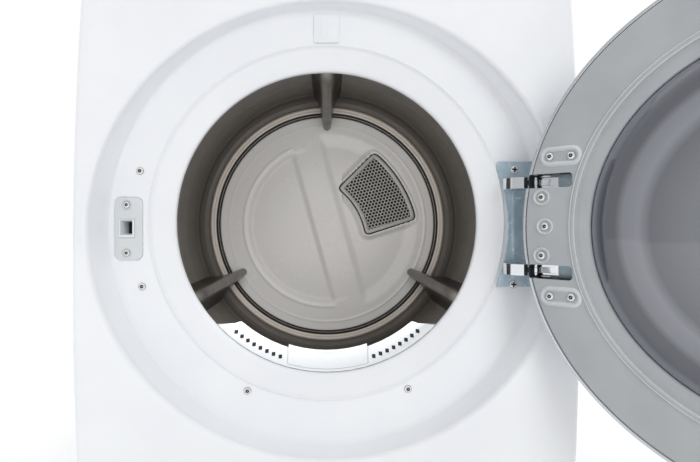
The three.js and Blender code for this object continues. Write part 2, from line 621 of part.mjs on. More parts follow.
// A hooked arm that rises from the bracket, bulges away from the door and turns back to the pin.
function hingeArm(side) {
  const path = new THREE.CatmullRomCurve3([
    new THREE.Vector3(256, -308.6, 0), new THREE.Vector3(251.5, -316, 0), new THREE.Vector3(249.8, -329, 0),
    new THREE.Vector3(254, -342, 0), new THREE.Vector3(264, -347, 0), new THREE.Vector3(270, -347, 0),
  ]);
  const half = 3.4;
  const left = [];
  const right = [];
  for (let i = 0; i <= 10; i += 1) {
    const point = path.getPoint(i / 10);
    const way = path.getTangent(i / 10);
    left.push([point.x - way.y * half, point.y + way.x * half]);
    right.push([point.x + way.y * half, point.y - way.x * half]);
  }
  left[0][1] = -308.6;
  right[0][1] = -308.6;
  const range = (low, high) => (side > 0 ? [HINGE_Z + low, HINGE_Z + high] : [HINGE_Z - high, HINGE_Z - low]);
  const hook = prismZ([...left.reverse(), ...right], range(...KNUCKLE));
  const knuckle = rodZ(HINGE_X, HINGE_Y, 5.6, range(55, 62));
  const tongue = block([267, HINGE_X], [HINGE_Y - 3.5, HINGE_Y + 2.5], range(55, 62));
  return hook.add(tongue).add(knuckle).subtract(rodZ(HINGE_X, HINGE_Y, 3.3, range(50, 67)));
}

function hinge() {
  add("hinge_bracket", hingeBracket(), "zinc");
  for (const [name, side] of [["upper", 1], ["lower", -1]]) {
    add(`hinge_arm_${name}`, hingeArm(side), "chrome");
    const ends = [HINGE_Z + side * (KNUCKLE[0] - 0.5), HINGE_Z + side * (KNUCKLE[1] + 0.5)].sort((a, b) => a - b);
    add(`hinge_pin_${name}`, rodZ(HINGE_X, HINGE_Y, 3, ends), "chrome");
  }
}

// ---- Door, drawn shut and then turned open about the hinge's axis ----
function slotCuts(y) {
  const upper = block(SLOT.x, y, [HINGE_Z + SLOT.low, HINGE_Z + SLOT.high]);
  return upper.add(block(SLOT.x, y, [HINGE_Z - SLOT.high, HINGE_Z - SLOT.low]));
}

function doorInnerFrame() {
  const y = DOOR_FACE_Y;
  const ring = turned([
    [GLASS_RADIUS, y - 5], [GLASS_RADIUS + 1, y - 3], [224, y - 2.5], [226, y], [DOOR_RADIUS - 1, y],
    [DOOR_RADIUS, y - 1], [DOOR_RADIUS, y - 14], [DOOR_RADIUS - 2.5, y - 14], [DOOR_RADIUS - 2.5, y - 2.5],
    [227, y - 2.5], [225, y - 5], [GLASS_RADIUS + 3, y - 5.5], [GLASS_RADIUS + 2.5, y - 16], [GLASS_RADIUS, y - 16],
  ], 0, DOOR_Z);
  return ring.subtract(slotCuts([y - 20, y + 5]));
}

function doorOuterFrame() {
  const ring = turned([
    [DOOR_RADIUS + 0.7, -321], [DOOR_SHELL_RADIUS - 1, -321], [DOOR_SHELL_RADIUS, -323],
    [DOOR_SHELL_RADIUS, -347], [286, -354], [276, -358.5], [246, -360.5], [206, -366], [206, -363],
    [246, -357.5], [275, -355.5], [283, -351.5], [DOOR_SHELL_RADIUS - 4, -345.5], [DOOR_RADIUS + 0.7, -340],
  ], 0, DOOR_Z);
  return ring.subtract(slotCuts([-352.2, -310]));
}

function doorHingePlate() {
  const plate = block([226, 276], PLATE, [HINGE_Z - 106, HINGE_Z + 106])
    .intersect(rodY(0, DOOR_Z, 272, [-360, -340], ROUND));
  const ear = (low, high) => {
    const z = [HINGE_Z + low, HINGE_Z + high];
    const tab = prismZ([
      [HINGE_X + 4, HINGE_Y - 1], [HINGE_X - 5, HINGE_Y - 1], [HINGE_X - 8, HINGE_Y - 4.2],
      [HINGE_X - 10, HINGE_Y - 5.2],
      [HINGE_X - 26, PLATE[1]], [HINGE_X - 26, PLATE[0]], [HINGE_X - 20, PLATE[0]],
      [HINGE_X - 11, HINGE_Y - 6.4], [HINGE_X - 4, HINGE_Y - 5.2],
      [HINGE_X + 4, HINGE_Y - 5.2],
    ].reverse(), z);
    return tab.add(rodZ(HINGE_X, HINGE_Y, 5.5, z)).subtract(rodZ(HINGE_X, HINGE_Y, 3.3, [z[0] - 1, z[1] + 1]));
  };
  const ears = [[KNUCKLE[0], 54.6], [62.4, KNUCKLE[1]], [-54.6, -KNUCKLE[0]], [-KNUCKLE[1], -62.4]];
  return ears.reduce((body, [low, high]) => body.add(ear(low, high)), plate);
}

function doorGlass() {
  return turned([
    [0, -305], [80, -306], [150, -309.6], [190, -316], [GLASS_RADIUS - GAP, -326],
    [GLASS_RADIUS - GAP, -332], [187, -320], [149, -313.6], [80, -310], [0, -309],
  ], 0, DOOR_Z);
}

function doorWindow() {
  return turned([
    [0, -385], [110, -380.8], [205.6, -366], [205.6, -362], [109, -376.8], [0, -381],
  ], 0, DOOR_Z);
}

function doorParts() {
  add("door_inner_frame", doorInnerFrame(), "greyPlastic", door);
  add("door_outer_frame", doorOuterFrame(), "silver", door);
  add("door_hinge_plate", doorHingePlate(), "chrome", door);
  add("door_glass", doorGlass(), "smokyGlass", door);
  add("door_window", doorWindow(), "smokyGlass", door);
  const hook = prismX([[-319.6, 467], [-319.6, 478], [-296, 478], [-292, 475], [-297, 471.5], [-305, 470.5],
    [-305, 467]], [-289.5, -281.5]);
  add("latch_hook", hook, "whitePlastic", door);
}

cabinet();
controls();
drumParts();
driveParts();
fittings();
hinge();
doorParts();

export default dryer;
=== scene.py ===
# %% [markdown]
# # A clothes dryer with its round door open
# The machine is a sheet steel cabinet round a turning drum. Its fixed frame of bodies is
# loaded first, and every piece made here is drawn in millimetres in that same frame, then
# put on the body that carries it. Nothing is moved afterwards, so the joints stay true.

# %% Load the frame
import json
import math

import bmesh
import bpy
import numpy as np
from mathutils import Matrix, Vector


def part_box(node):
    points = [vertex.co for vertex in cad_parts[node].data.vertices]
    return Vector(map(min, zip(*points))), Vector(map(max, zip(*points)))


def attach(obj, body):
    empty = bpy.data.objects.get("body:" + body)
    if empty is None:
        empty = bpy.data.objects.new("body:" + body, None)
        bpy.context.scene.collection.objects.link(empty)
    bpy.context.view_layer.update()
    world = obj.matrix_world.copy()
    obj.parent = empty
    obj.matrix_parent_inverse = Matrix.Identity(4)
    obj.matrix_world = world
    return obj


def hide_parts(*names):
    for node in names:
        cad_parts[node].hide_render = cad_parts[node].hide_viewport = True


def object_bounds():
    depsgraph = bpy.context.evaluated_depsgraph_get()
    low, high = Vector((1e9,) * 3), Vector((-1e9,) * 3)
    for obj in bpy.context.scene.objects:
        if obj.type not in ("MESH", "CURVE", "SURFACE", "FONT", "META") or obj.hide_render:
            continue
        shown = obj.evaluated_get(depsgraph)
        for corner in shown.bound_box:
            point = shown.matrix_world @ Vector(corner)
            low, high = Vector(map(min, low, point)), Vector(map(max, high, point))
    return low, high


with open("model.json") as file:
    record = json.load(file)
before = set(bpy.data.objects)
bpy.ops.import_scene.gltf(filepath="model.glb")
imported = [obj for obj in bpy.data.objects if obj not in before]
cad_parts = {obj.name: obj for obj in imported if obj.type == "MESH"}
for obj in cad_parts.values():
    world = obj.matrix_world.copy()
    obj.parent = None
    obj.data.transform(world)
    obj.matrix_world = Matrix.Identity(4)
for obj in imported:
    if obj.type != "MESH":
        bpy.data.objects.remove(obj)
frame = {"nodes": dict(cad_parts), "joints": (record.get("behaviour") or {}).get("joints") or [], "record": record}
frame_box = [list(corner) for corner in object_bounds()]
record = frame["record"]
body_of = {n: body for body, nodes in record["behaviour"]["bodies"].items() for n in nodes}
slot_of = {part["node"]: part["material_slot"] for part in record["subparts"]}

# %% Where the main pieces are, read from the frame
def box_mm(node):
    """The lowest and highest corner of a node, in millimetres."""
    return [np.array(corner) * 1000 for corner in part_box(node)]


drum_low, drum_high = box_mm("drum")
panel_low, panel_high = box_mm("front_panel")
AXIS_Z = (drum_low[2] + drum_high[2]) / 2
DRUM_INSIDE = (drum_high[0] - drum_low[0]) / 2 - 1
HALF = panel_high[0]
LOW, TOP = panel_low[2], panel_high[2]
FRONT = -350.0
FLOOR = -305.0
swing = next(j for j in frame["joints"] if j["name"] == "door_swing")
HINGE = np.array(swing["pos_m"]) * 1000
OPEN = math.radians(-swing["range_deg"][0])
DOOR_Z = HINGE[2] - 0.5
print("drum axis height", AXIS_Z, "drum radius", DRUM_INSIDE, "half width", HALF)

# %% [markdown]
# ## Camera, floor and light
# The view is square on to the front, at about the height of the drum's axis and a
# metre from it, with a fairly wide lens. A big pale floor and a white room give soft
# light from everywhere. The room is whitest behind the machine and overhead. A broad light
# from the upper right gives the gentle fall of light across the recess, and a soft lamp in
# the mouth of the drum, facing in, lights what lies behind the opening.

# %% The camera
scene = bpy.context.scene
scene.view_settings.view_transform = "Standard"
camera = bpy.data.objects.new("camera", bpy.data.cameras.new("camera"))
scene.collection.objects.link(camera)
camera.location = (0.002, -1.05, 0.4757)
camera.rotation_euler = (math.pi / 2, 0, 0)
camera.data.sensor_width = 36
camera.data.lens = 26.85
camera.data.shift_x = 0.0317
camera.data.shift_y = -0.0079
camera.data.clip_start = 0.02
scene.camera = camera
print("camera", round(camera.data.lens, 2), "mm")

# %% The room's light and the lamps
world = bpy.data.worlds.new("pale room")
scene.world = world
world.use_nodes = True
sky = world.node_tree
way = sky.nodes.new("ShaderNodeTexCoord").outputs["Generated"]
parts = sky.nodes.new("ShaderNodeSeparateXYZ")
sky.links.new(way, parts.inputs[0])


def map_range(tree, value, start, stop, low=0.0, high=1.0, kind="LINEAR"):
    """A node value that goes from low to high as its input goes from start to stop."""
    made = tree.nodes.new("ShaderNodeMapRange")
    made.interpolation_type = kind
    for key, number in (("From Min", start), ("From Max", stop), ("To Min", low), ("To Max", high)):
        made.inputs[key].default_value = number
    tree.links.new(value, made.inputs["Value"])
    return made.outputs["Result"]


depth = map_range(sky, parts.outputs["Y"], -0.35, 0.35, 0.56, 1.0, "SMOOTHSTEP")
above = map_range(sky, parts.outputs["Z"], 0.3, 1.0, 0.0, 0.35, "SMOOTHSTEP")
both = sky.nodes.new("ShaderNodeMath")
sky.links.new(depth, both.inputs[0])
sky.links.new(above, both.inputs[1])
sky.links.new(both.outputs["Value"], sky.nodes["Background"].inputs["Strength"])
sky.nodes["Background"].inputs["Color"].default_value = (1, 1, 1, 1)

sun_data = bpy.data.lights.new("front light", "SUN")
sun_data.energy, sun_data.angle = 1.0, math.radians(34)
sun = bpy.data.objects.new("front light", sun_data)
scene.collection.objects.link(sun)
sun.rotation_euler = (math.radians(90 - 26), 0, math.radians(24))
sun.visible_glossy = False


def lamp(name, place, aim, width, height, power):
    """A flat rectangular lamp that faces the point it is aimed at."""
    data = bpy.data.lights.new(name, "AREA")
    data.shape = "RECTANGLE"
    data.size, data.size_y, data.energy = width, height, power
    holder = bpy.data.objects.new(name, data)
    scene.collection.objects.link(holder)
    holder.location = place
    way = Vector(aim) - Vector(place)
    holder.rotation_euler = way.to_track_quat("-Z", "Y").to_euler()
    return holder


axis_m = AXIS_Z / 1000
drum_light = lamp("drum light", (0.02, -0.28, axis_m + 0.03), (0, 0.3, axis_m), 0.34, 0.32, 2.45)
drum_light.visible_glossy = False

# %% [markdown]
# ## Helpers for shapes
# Nearly every piece here is a surface on a grid: rows of points one way, columns the other.
# A ring is an outline turned about the drum's axis, and a plate is a set of nested outlines.
# So two helpers are enough, one that makes the faces of a grid and one that turns the grid
# into a finished piece on its body.

# %% Faces of a grid
def grid_faces(rows, columns, join_rows=False, join_columns=True):
    """Each face takes the four points at (row, column) and one step on. Joining wraps the
    last row or column back to the first."""
    index = np.arange(rows * columns).reshape(rows, columns)
    if join_rows:
        index = np.vstack([index, index[:1]])
    if join_columns:
        index = np.hstack([index, index[:, :1]])
    corners = [index[:-1, :-1], index[:-1, 1:], index[1:, 1:], index[1:, :-1]]
    return np.stack(corners, -1).reshape(-1, 4)


def end_faces(rows, columns):
    """One face that closes the first row of a grid and one that closes the last."""
    return [list(range(columns)), list(range((rows - 1) * columns, rows * columns))]


# %% A finished piece from points and faces
finishes = {}


def piece(name, mesh, node=None, body=None, slot=None, finish=None, sharp=38):
    """Gives a mesh its object, finish and body. A piece made for a frame node stands
    for that node and takes its body from it. The finish is the one named, else the one of
    the slot given or of the node's slot."""
    obj = bpy.data.objects.new(name, mesh)
    scene.collection.objects.link(obj)
    mesh.shade_smooth()
    mesh.set_sharp_from_angle(angle=math.radians(sharp))
    slot = slot or slot_of[node]
    mesh.materials.clear()
    mesh.materials.append(finishes[finish or slot])
    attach(obj, body or body_of[node])
    if node:
        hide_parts(node)
    return obj


def mesh_from(name, points, faces, facing=None):
    """Points in millimetres become metres. Points that meet are welded, and the faces are
    turned outwards, or towards `facing` on an open sheet."""
    mesh = bpy.data.meshes.new(name)
    faces = faces.tolist() if isinstance(faces, np.ndarray) else faces
    mesh.from_pydata((np.asarray(points, float).reshape(-1, 3) / 1000).tolist(), [], faces)
    work = bmesh.new()
    work.from_mesh(mesh)
    bmesh.ops.remove_doubles(work, verts=work.verts, dist=2e-6)
    loose = [v for v in work.verts if not v.link_faces]
    bmesh.ops.delete(work, geom=loose, context="VERTS")
    bmesh.ops.recalc_face_normals(work, faces=work.faces)
    work.to_mesh(mesh)
    work.free()
    if facing is not None:
        normals = np.empty(len(mesh.polygons) * 3)
        mesh.polygons.foreach_get("normal", normals)
        if (normals.reshape(-1, 3) @ np.array(facing, float)).sum() < 0:
            mesh.flip_normals()
    return mesh


def shell(name, grid, join_rows=False, join_columns=True, caps=False, facing=None, **where):
    """A grid of points as a piece. Caps close the first and the last row with one face."""
    rows, columns = grid.shape[:2]
    faces = grid_faces(rows, columns, join_rows, join_columns).tolist()
    if caps:
        faces += end_faces(rows, columns)
    return piece(name, mesh_from(name, grid, faces, facing), **where)


# %% Outlines and rings
def round_angles(steps):
    """Angles evenly round a whole turn, without the last, which is the first again."""
    return np.linspace(0, 2 * np.pi, steps, endpoint=False)


def turned(profile, centre=(0, 0), steps=192):
    """Each (radius, y) point of the outline goes round an axis along Y:
    x = radius times cos a, z = radius times sin a."""
    a = round_angles(steps)
    r, y = np.asarray(profile, float).T
    depth = np.broadcast_to(y[:, None], (len(r), steps))
    return np.stack([centre[0] + r[:, None] * np.cos(a), depth,
                     centre[1] + r[:, None] * np.sin(a)], -1)


def blend(a, corner, b, t):
    """A curve from a to b that bends towards the corner: (1-t)^2, 2t(1-t) and t^2 of them."""
    return (1 - t) ** 2 * a + 2 * t * (1 - t) * corner + t**2 * b


def eased(outline, radius, steps=5, closed=True):
    """Every corner of an outline becomes a small curve that starts and ends `radius` from
    it."""
    p = np.asarray(outline, float)
    before, after = np.roll(p, 1, 0) - p, np.roll(p, -1, 0) - p
    reach = [np.linalg.norm(v, axis=1, keepdims=True) for v in (before, after)]
    a = p + before * np.minimum(radius / np.maximum(reach[0], 1e-9), 0.45)
    b = p + after * np.minimum(radius / np.maximum(reach[1], 1e-9), 0.45)
    t = np.linspace(0, 1, steps)[None, :, None]
    curve = blend(a[:, None], p[:, None], b[:, None], t)
    if closed:
        return curve.reshape(-1, 2)
    return np.vstack([p[:1], curve[1:-1].reshape(-1, 2), p[-1:]])


def rounded_box(x, z, radius, steps=8):
    """A rectangle's outline with quarter circles for corners, as (x, z) points."""
    quarter = np.linspace(0, np.pi / 2, steps)
    a = np.concatenate([quarter + k * np.pi / 2 for k in range(4)])
    cx = np.repeat([x[1] - radius, x[0] + radius, x[0] + radius, x[1] - radius], steps)
    cz = np.repeat([z[1] - radius, z[1] - radius, z[0] + radius, z[0] + radius], steps)
    return np.stack([cx + radius * np.cos(a), cz + radius * np.sin(a)], -1)


def grown(outline, by):
    """An outline moved outwards along its own normals."""
    way = np.roll(outline, -1, 0) - np.roll(outline, 1, 0)
    way /= np.maximum(np.linalg.norm(way, axis=1, keepdims=True), 1e-9)
    area = np.sum(outline[:, 0] * np.roll(outline[:, 1], -1)
                  - np.roll(outline[:, 0], -1) * outline[:, 1])
    side = np.stack([way[:, 1], -way[:, 0]], -1) * np.sign(area)
    return outline + side * by


def nested(outlines, depths):
    """Outlines in X and Z with a Y for each, as the rows of a grid."""
    flat = np.stack(outlines)
    depth = np.broadcast_to(np.array(depths, float)[:, None], flat.shape[:2])
    return np.stack([flat[..., 0], depth, flat[..., 1]], -1)


def smoothstep(low, high, value):
    """0 below low, 1 above high, and a soft S between them: 3t^2 - 2t^3."""
    t = np.clip((value - low) / (high - low), 0, 1)
    return t * t * (3 - 2 * t)


def ridge(at, middle, width, height):
    """A bump of a given width and height: height times e to the minus distance squared."""
    return height * np.exp(-(((at - middle) / width) ** 2))


# %% A frame piece with softened edges
def softened(node, width=0.5, angle=40, finish=None, segments=2):
    """A copy of a frame piece with its loose triangles joined, its flat faces made whole and
    a narrow round along each sharp edge."""
    mesh = frame["nodes"][node].data.copy()
    work = bmesh.new()
    work.from_mesh(mesh)
    bmesh.ops.remove_doubles(work, verts=work.verts, dist=2e-6)
    bmesh.ops.dissolve_limit(work, angle_limit=math.radians(0.6), verts=work.verts,
                             edges=work.edges)
    work.to_mesh(mesh)
    work.free()
    obj = piece(node + "_soft", mesh, node=node, finish=finish, sharp=angle)
    edge = obj.modifiers.new("edge", "BEVEL")
    edge.width, edge.segments, edge.limit_method = width / 1000, segments, "ANGLE"
    edge.angle_limit = math.radians(angle)
    return obj


# %% Cutting one piece with another
def cut(obj, grid):
    """Takes the closed shape of a grid out of a piece, and keeps only the result."""
    rows, columns = grid.shape[:2]
    faces = grid_faces(rows, columns).tolist() + end_faces(rows, columns)
    tool = bpy.data.objects.new("tool", mesh_from("tool", grid, faces))
    scene.collection.objects.link(tool)
    change = obj.modifiers.new("cut", "BOOLEAN")
    change.object, change.operation, change.solver = tool, "DIFFERENCE", "EXACT"
    result = bpy.data.meshes.new_from_object(
        obj.evaluated_get(bpy.context.evaluated_depsgraph_get()))
    obj.modifiers.clear()
    obj.data = result
    bpy.data.objects.remove(tool)
    result.set_sharp_from_angle(angle=math.radians(38))


# %% Screws and rings
def axes_at(places, normals):
    """Each place with its unit normal and two more unit directions square to it."""
    places, normals = np.atleast_2d(places).astype(float), np.atleast_2d(normals).astype(float)
    normals = np.broadcast_to(normals, places.shape)
    normals = normals / np.linalg.norm(normals, axis=1, keepdims=True)
    side = np.cross(normals, [0.13, 0.02, 1.0])
    side /= np.linalg.norm(side, axis=1, keepdims=True)
    other = np.cross(normals, side)
    return places, normals, side, other


def stood(axes, u, v, rise):
    """One small grid stood at every place: u and v across the normal, and a height along it."""
    places, normals, side, other = (part[:, None, None] for part in axes)
    return places + u[..., None] * side + v[..., None] * other + rise[..., None] * normals


def points_mm(mesh):
    """A mesh's points in millimetres."""
    points = np.empty(len(mesh.vertices) * 3)
    mesh.vertices.foreach_get("co", points)
    return points.reshape(-1, 3) * 1000


def keep_number(mesh, name, values):
    """Keeps one number for each point under a name that a finish can read."""
    kept = mesh.attributes.new(name, "FLOAT", "POINT")
    kept.data.foreach_set("value", values.astype(np.float32))


def repeated(one, count, points):
    """The faces of one small grid, repeated for `count` grids of `points` points each."""
    return (one[None] + (np.arange(count) * points)[:, None, None]).reshape(-1, 4)


def screws(name, places, normals, radius, body, slot="bright_steel", height=0.55, cross=False):
    """Round-headed screws. The head's height is a quarter-ellipse of the distance q from its
    middle, less a dip: where q is small for a socket, or where either local coordinate is
    small for a cross. How deep the dip is at each point, and a ring at the head's edge, are
    kept for the finish as painted shade in the dip and a painted shadow round the head."""
    axes = places, _, side, other = axes_at(places, normals)
    q = np.array([0, 0.12, 0.2, 0.28, 0.36, 0.44, 0.5, 0.58, 0.68, 0.8, 0.9, 0.97, 1.0, 1.0])
    q = q[:, None]
    a = round_angles(40)[None, :]
    u, v = q * np.cos(a), q * np.sin(a)

    def dip(u, v):
        """How far a point of the head lies in its socket or cross, 0 to 1."""
        if cross:
            return (smoothstep(0.22, 0.12, np.minimum(abs(u), abs(v)))
                    * smoothstep(0.68, 0.56, np.maximum(abs(u), abs(v))))
        out = np.hypot(u, v)
        return smoothstep(0.5, 0.36, out) * (1 - 0.7 * smoothstep(0.22, 0.1, out))

    rise = height * radius * (np.sqrt(np.clip(1 - 0.93 * q**2, 0, 1)) - 0.8 * dip(u, v))
    rise = np.broadcast_to(rise, u.shape).copy()
    rise[-1] = -0.3
    grid = stood(axes, radius * u, radius * v, rise)
    rows, columns = u.shape
    mesh = mesh_from(name, grid, repeated(grid_faces(rows, columns), len(places), rows * columns))
    obj = piece(name, mesh, body=body, slot=slot, finish="screw_steel")
    rel = points_mm(mesh)[:, None] - places[None]
    one = np.argmin((rel**2).sum(-1), 1)
    rel = rel[np.arange(len(one)), one]
    u, v = (rel * side[one]).sum(1) / radius, (rel * other[one]).sum(1) / radius
    # Kept as painted shade: dark where the head dips, a painted shadow ring at its edge, and a lighter painted
    # glint in the middle of a socket, where the dip is shallower.
    keep_number(mesh, "recess", np.maximum(dip(u, v), 0.6 * smoothstep(0.84, 1.0, np.hypot(u, v))))
    return obj


def washers(name, places, normals, radius, body, slot, inner=0.6, height=0.35, finish=None):
    """Raised rings round screws: a low closed outline turned about each screw's own axis."""
    q = radius * np.array([1.0, 0.96, 0.88, inner + 0.08, inner, inner, 1.0])[:, None]
    h = height * np.array([0.0, 0.8, 1.0, 0.5, 0.1, -1.0, -1.0])[:, None]
    a = round_angles(40)[None, :]
    grid = stood(axes_at(places, normals), q * np.cos(a), q * np.sin(a), h + 0 * a)
    faces = repeated(grid_faces(len(q), 40, join_rows=True), len(grid), len(q) * 40)
    return piece(name, mesh_from(name, grid, faces), body=body, slot=slot, finish=finish)


print("helpers ready")

# %% [markdown]
# ## Finishes
# Each finish is made of nodes on the piece's own coordinates: two near tones mixed by soft
# patches, a roughness that wanders between two values, and a fine grain as bump. One
# helper makes them all, because what differs between enamel, plastic, rubber and steel is
# mostly how far apart the tones are, how rough the surface is and how big the grain is.

# %% Tones
def tone(r, g, b):
    """A colour given as it looks on a screen, 0 to 255, as the shader's linear value."""
    c = np.array([r, g, b]) / 255
    linear = np.where(c <= 0.04045, c / 12.92, ((c + 0.055) / 1.055) ** 2.4)
    return (*[float(v) for v in linear], 1.0)


class Recipe:
    """One material's nodes, with short names for the ones that are used again and again."""

    def __init__(self, name):
        self.material = bpy.data.materials.new(name)
        self.material.use_nodes = True
        self.tree = self.material.node_tree
        self.shader = self.tree.nodes["Principled BSDF"]
        self.place = self.node("ShaderNodeTexCoord").outputs["Object"]
        finishes[name] = self.material

    def node(self, kind, **settings):
        """A new node with some of its settings."""
        made = self.tree.nodes.new(kind)
        for key, value in settings.items():
            setattr(made, key, value)
        return made

    def join(self, source, target):
        self.tree.links.new(source, target)

    def noise(self, size, detail=3.0, stretch=(1, 1, 1)):
        """Soft patches about `size` metres across, longer where stretch is small."""
        turn = self.node("ShaderNodeMapping")
        turn.inputs["Scale"].default_value = stretch
        made = self.node("ShaderNodeTexNoise")
        made.inputs["Scale"].default_value = 1 / size
        made.inputs["Detail"].default_value = detail
        self.join(self.place, turn.inputs["Vector"])
        self.join(turn.outputs["Vector"], made.inputs["Vector"])
        return made.outputs["Fac"]

    def ramp(self, value, stops):
        """A value turned into the tones at the stops given."""
        made = self.node("ShaderNodeValToRGB")
        bar = made.color_ramp
        while len(bar.elements) < len(stops):
            bar.elements.new(0.5)
        for element, (at, colour) in zip(bar.elements, stops):
            element.position = at
            element.color = tone(*colour)
        self.join(value, made.inputs["Fac"])
        return made.outputs["Color"]

    def between(self, value, low, high):
        """A value from 0.3 to 0.7, as noise gives, stretched to run from low to high."""
        return map_range(self.tree, value, 0.3, 0.7, low, high)

    def bump(self, height, depth, strength=1.0):
        """Grain as bump, `depth` metres high."""
        made = self.node("ShaderNodeBump")
        made.inputs["Distance"].default_value = depth
        made.inputs["Strength"].default_value = strength
        self.join(height, made.inputs["Height"])
        self.join(made.outputs["Normal"], self.shader.inputs["Normal"])

    def set(self, **numbers):
        for key, value in numbers.items():
            self.shader.inputs[key.replace("_", " ")].default_value = value


def finish(name, light, dark, patch=0.12, rough=(0.3, 0.4), grain=0.002, depth=0.00005,
           stretch=(1, 1, 1), **numbers):
    """The usual recipe: two tones, a wandering roughness and a fine grain."""
    made = Recipe(name)
    patches = made.noise(patch, 4, stretch)
    made.join(made.ramp(patches, [(0.35, dark), (0.65, light)]), made.shader.inputs["Base Color"])
    made.join(made.between(made.noise(patch * 0.4, 3, stretch), *rough),
              made.shader.inputs["Roughness"])
    made.bump(made.noise(grain, 2, stretch), depth)
    made.set(**numbers)
    return made


# %% The painted, plain and moulded finishes
finish("panel_enamel", (238, 240, 243), (234, 236, 240), rough=(0.2, 0.27), grain=0.0035,
       depth=0.00003, Coat_Weight=0.5, Coat_Roughness=0.08)
finish("white_plastic", (236, 238, 241), (230, 233, 236), patch=0.05, rough=(0.3, 0.42),
       grain=0.0008, depth=0.00003)
finish("silver_plastic", (196, 199, 203), (184, 187, 192), patch=0.01, rough=(0.25, 0.35),
       grain=0.0004, depth=0.00002, Metallic=0.65, Coat_Weight=0.4)
for name, light, dark, rough in (
        ("grey_plastic", (178, 182, 185), (172, 176, 179), (0.3, 0.4)),
        ("latch_grey", (212, 216, 218), (206, 210, 213), (0.3, 0.4)),
        # The paler grey that follows is painted highlight on the door's step lines, pads and screw dishes.
        ("lip_grey", (206, 209, 211), (200, 203, 205), (0.2, 0.3)),
        ("socket_grey", (228, 231, 233), (222, 226, 228), (0.3, 0.4))):
    finish(name, light, dark, patch=0.05, rough=rough, grain=0.0007, depth=0.00003)
finish("black_plastic", (44, 45, 48), (34, 35, 38), patch=0.04, rough=(0.45, 0.6),
       grain=0.0009, depth=0.0001)
finish("foot_rubber", (42, 42, 43), (30, 30, 31), patch=0.02, rough=(0.7, 0.85),
       grain=0.0012, depth=0.0001)
finish("roller_rubber", (48, 48, 48), (34, 34, 34), patch=0.02, rough=(0.65, 0.8),
       grain=0.0015, depth=0.0001)
finish("motor_casing", (122, 126, 131), (98, 102, 108), patch=0.03, rough=(0.4, 0.55),
       grain=0.001, depth=0.0001, Metallic=0.6)
finish("display_glass", (30, 32, 36), (22, 24, 28), patch=0.06, rough=(0.05, 0.1),
       grain=0.004, depth=0.00001, Coat_Weight=1.0, Coat_Roughness=0.03)
print("finishes:", len(finishes))

# %% [markdown]
# The metals follow. Zinc on sheet steel crystallises in flat spangles, so that finish takes
# its tones from cells. Bright zinc with its blue pass shifts between grey-blue and
# straw. Drawn and brushed steel has grain that runs one way, made by stretching the noise.

# %% The metals
spangled = Recipe("galvanised_steel")
cells = spangled.node("ShaderNodeTexVoronoi")
cells.inputs["Scale"].default_value = 150
spangled.join(spangled.place, cells.inputs["Vector"])
split = spangled.node("ShaderNodeSeparateColor")
spangled.join(cells.outputs["Color"], split.inputs["Color"])
spangled.join(
    spangled.ramp(split.outputs["Red"], [(0, (188, 191, 194)), (1, (202, 205, 207))]),
    spangled.shader.inputs["Base Color"])
spangled.join(spangled.between(split.outputs["Green"], 0.32, 0.44),
              spangled.shader.inputs["Roughness"])
spangled.bump(spangled.noise(0.004, 2), 0.00004)
spangled.set(Metallic=0.85)

finish("bright_steel", (205, 207, 208), (180, 182, 184), patch=0.003, rough=(0.18, 0.3),
       grain=0.0008, depth=0.00002, stretch=(1, 0.1, 1), Metallic=1.0)
finish("polished_chrome", (236, 239, 242), (226, 230, 234), patch=0.04, rough=(0.05, 0.1),
       grain=0.006, depth=0.00002, Metallic=1.0)
finish("zinc_plate", (198, 216, 227), (170, 190, 203), patch=0.022, rough=(0.16, 0.3),
       grain=0.0012, depth=0.00003, Metallic=0.35)
finish("grille_steel", (196, 195, 190), (184, 182, 177), patch=0.02, rough=(0.35, 0.45),
       grain=0.0009, depth=0.00003, Metallic=0.4)
finish("door_silver", (212, 216, 219), (202, 206, 210), patch=0.08, rough=(0.16, 0.24),
       grain=0.0006, depth=0.00002, Metallic=0.85, Coat_Weight=0.5, Coat_Roughness=0.05)
finish("rear_wall_steel", (203, 201, 198), (202, 199, 196), patch=0.2, rough=(0.26, 0.28),
       grain=0.0012, depth=0.00002, Coat_Weight=0.35, Coat_Roughness=0.15)
finish("seal_felt", (70, 68, 64), (45, 43, 40), patch=0.004, rough=(0.9, 1.0),
       grain=0.0007, depth=0.0005, Sheen_Weight=0.3)
print("finishes:", len(finishes))

# %% [markdown]
# Four finishes change across the piece. A screw head is painted dark in its recess and
# round its edge, as painted shade and a painted shadow, with a lighter painted glint in the
# middle of a socket. The drum's taupe enamel is painted much lighter on the bead at its back,
# as painted light where the bead faces the front, and dark in the gap inside it, as painted
# shade, so its tone follows the distance from the axis. A lifter is smoky and slightly
# clear; its tone is painted dark at its crest and foot, as painted shade, and palest a little
# below the crest, as a painted highlight. The door's glass has a printed dark band near its
# rim and faint rings, carried by an attribute that holds each point's distance from the
# door's centre.

# %% Screw heads, with painted shade in the recess
head = finish("screw_steel", (240, 240, 238), (226, 226, 224), patch=0.003,
              rough=(0.16, 0.24), grain=0.0008, depth=0.00002, Metallic=0.45)
# The base colour is mixed towards dark grey by the kept number: painted shade in the socket or cross, a painted
# shadow round the head's edge and a lighter painted glint in a socket's middle.
cross = head.node("ShaderNodeAttribute", attribute_name="recess")
painted_shade_mix = head.node("ShaderNodeMix", data_type="RGBA")
old = head.shader.inputs["Base Color"].links[0].from_socket
head.join(cross.outputs["Fac"], painted_shade_mix.inputs["Factor"])
head.join(old, painted_shade_mix.inputs["A"])
painted_shade_mix.inputs["B"].default_value = tone(52, 52, 52)
head.join(painted_shade_mix.outputs["Result"], head.shader.inputs["Base Color"])

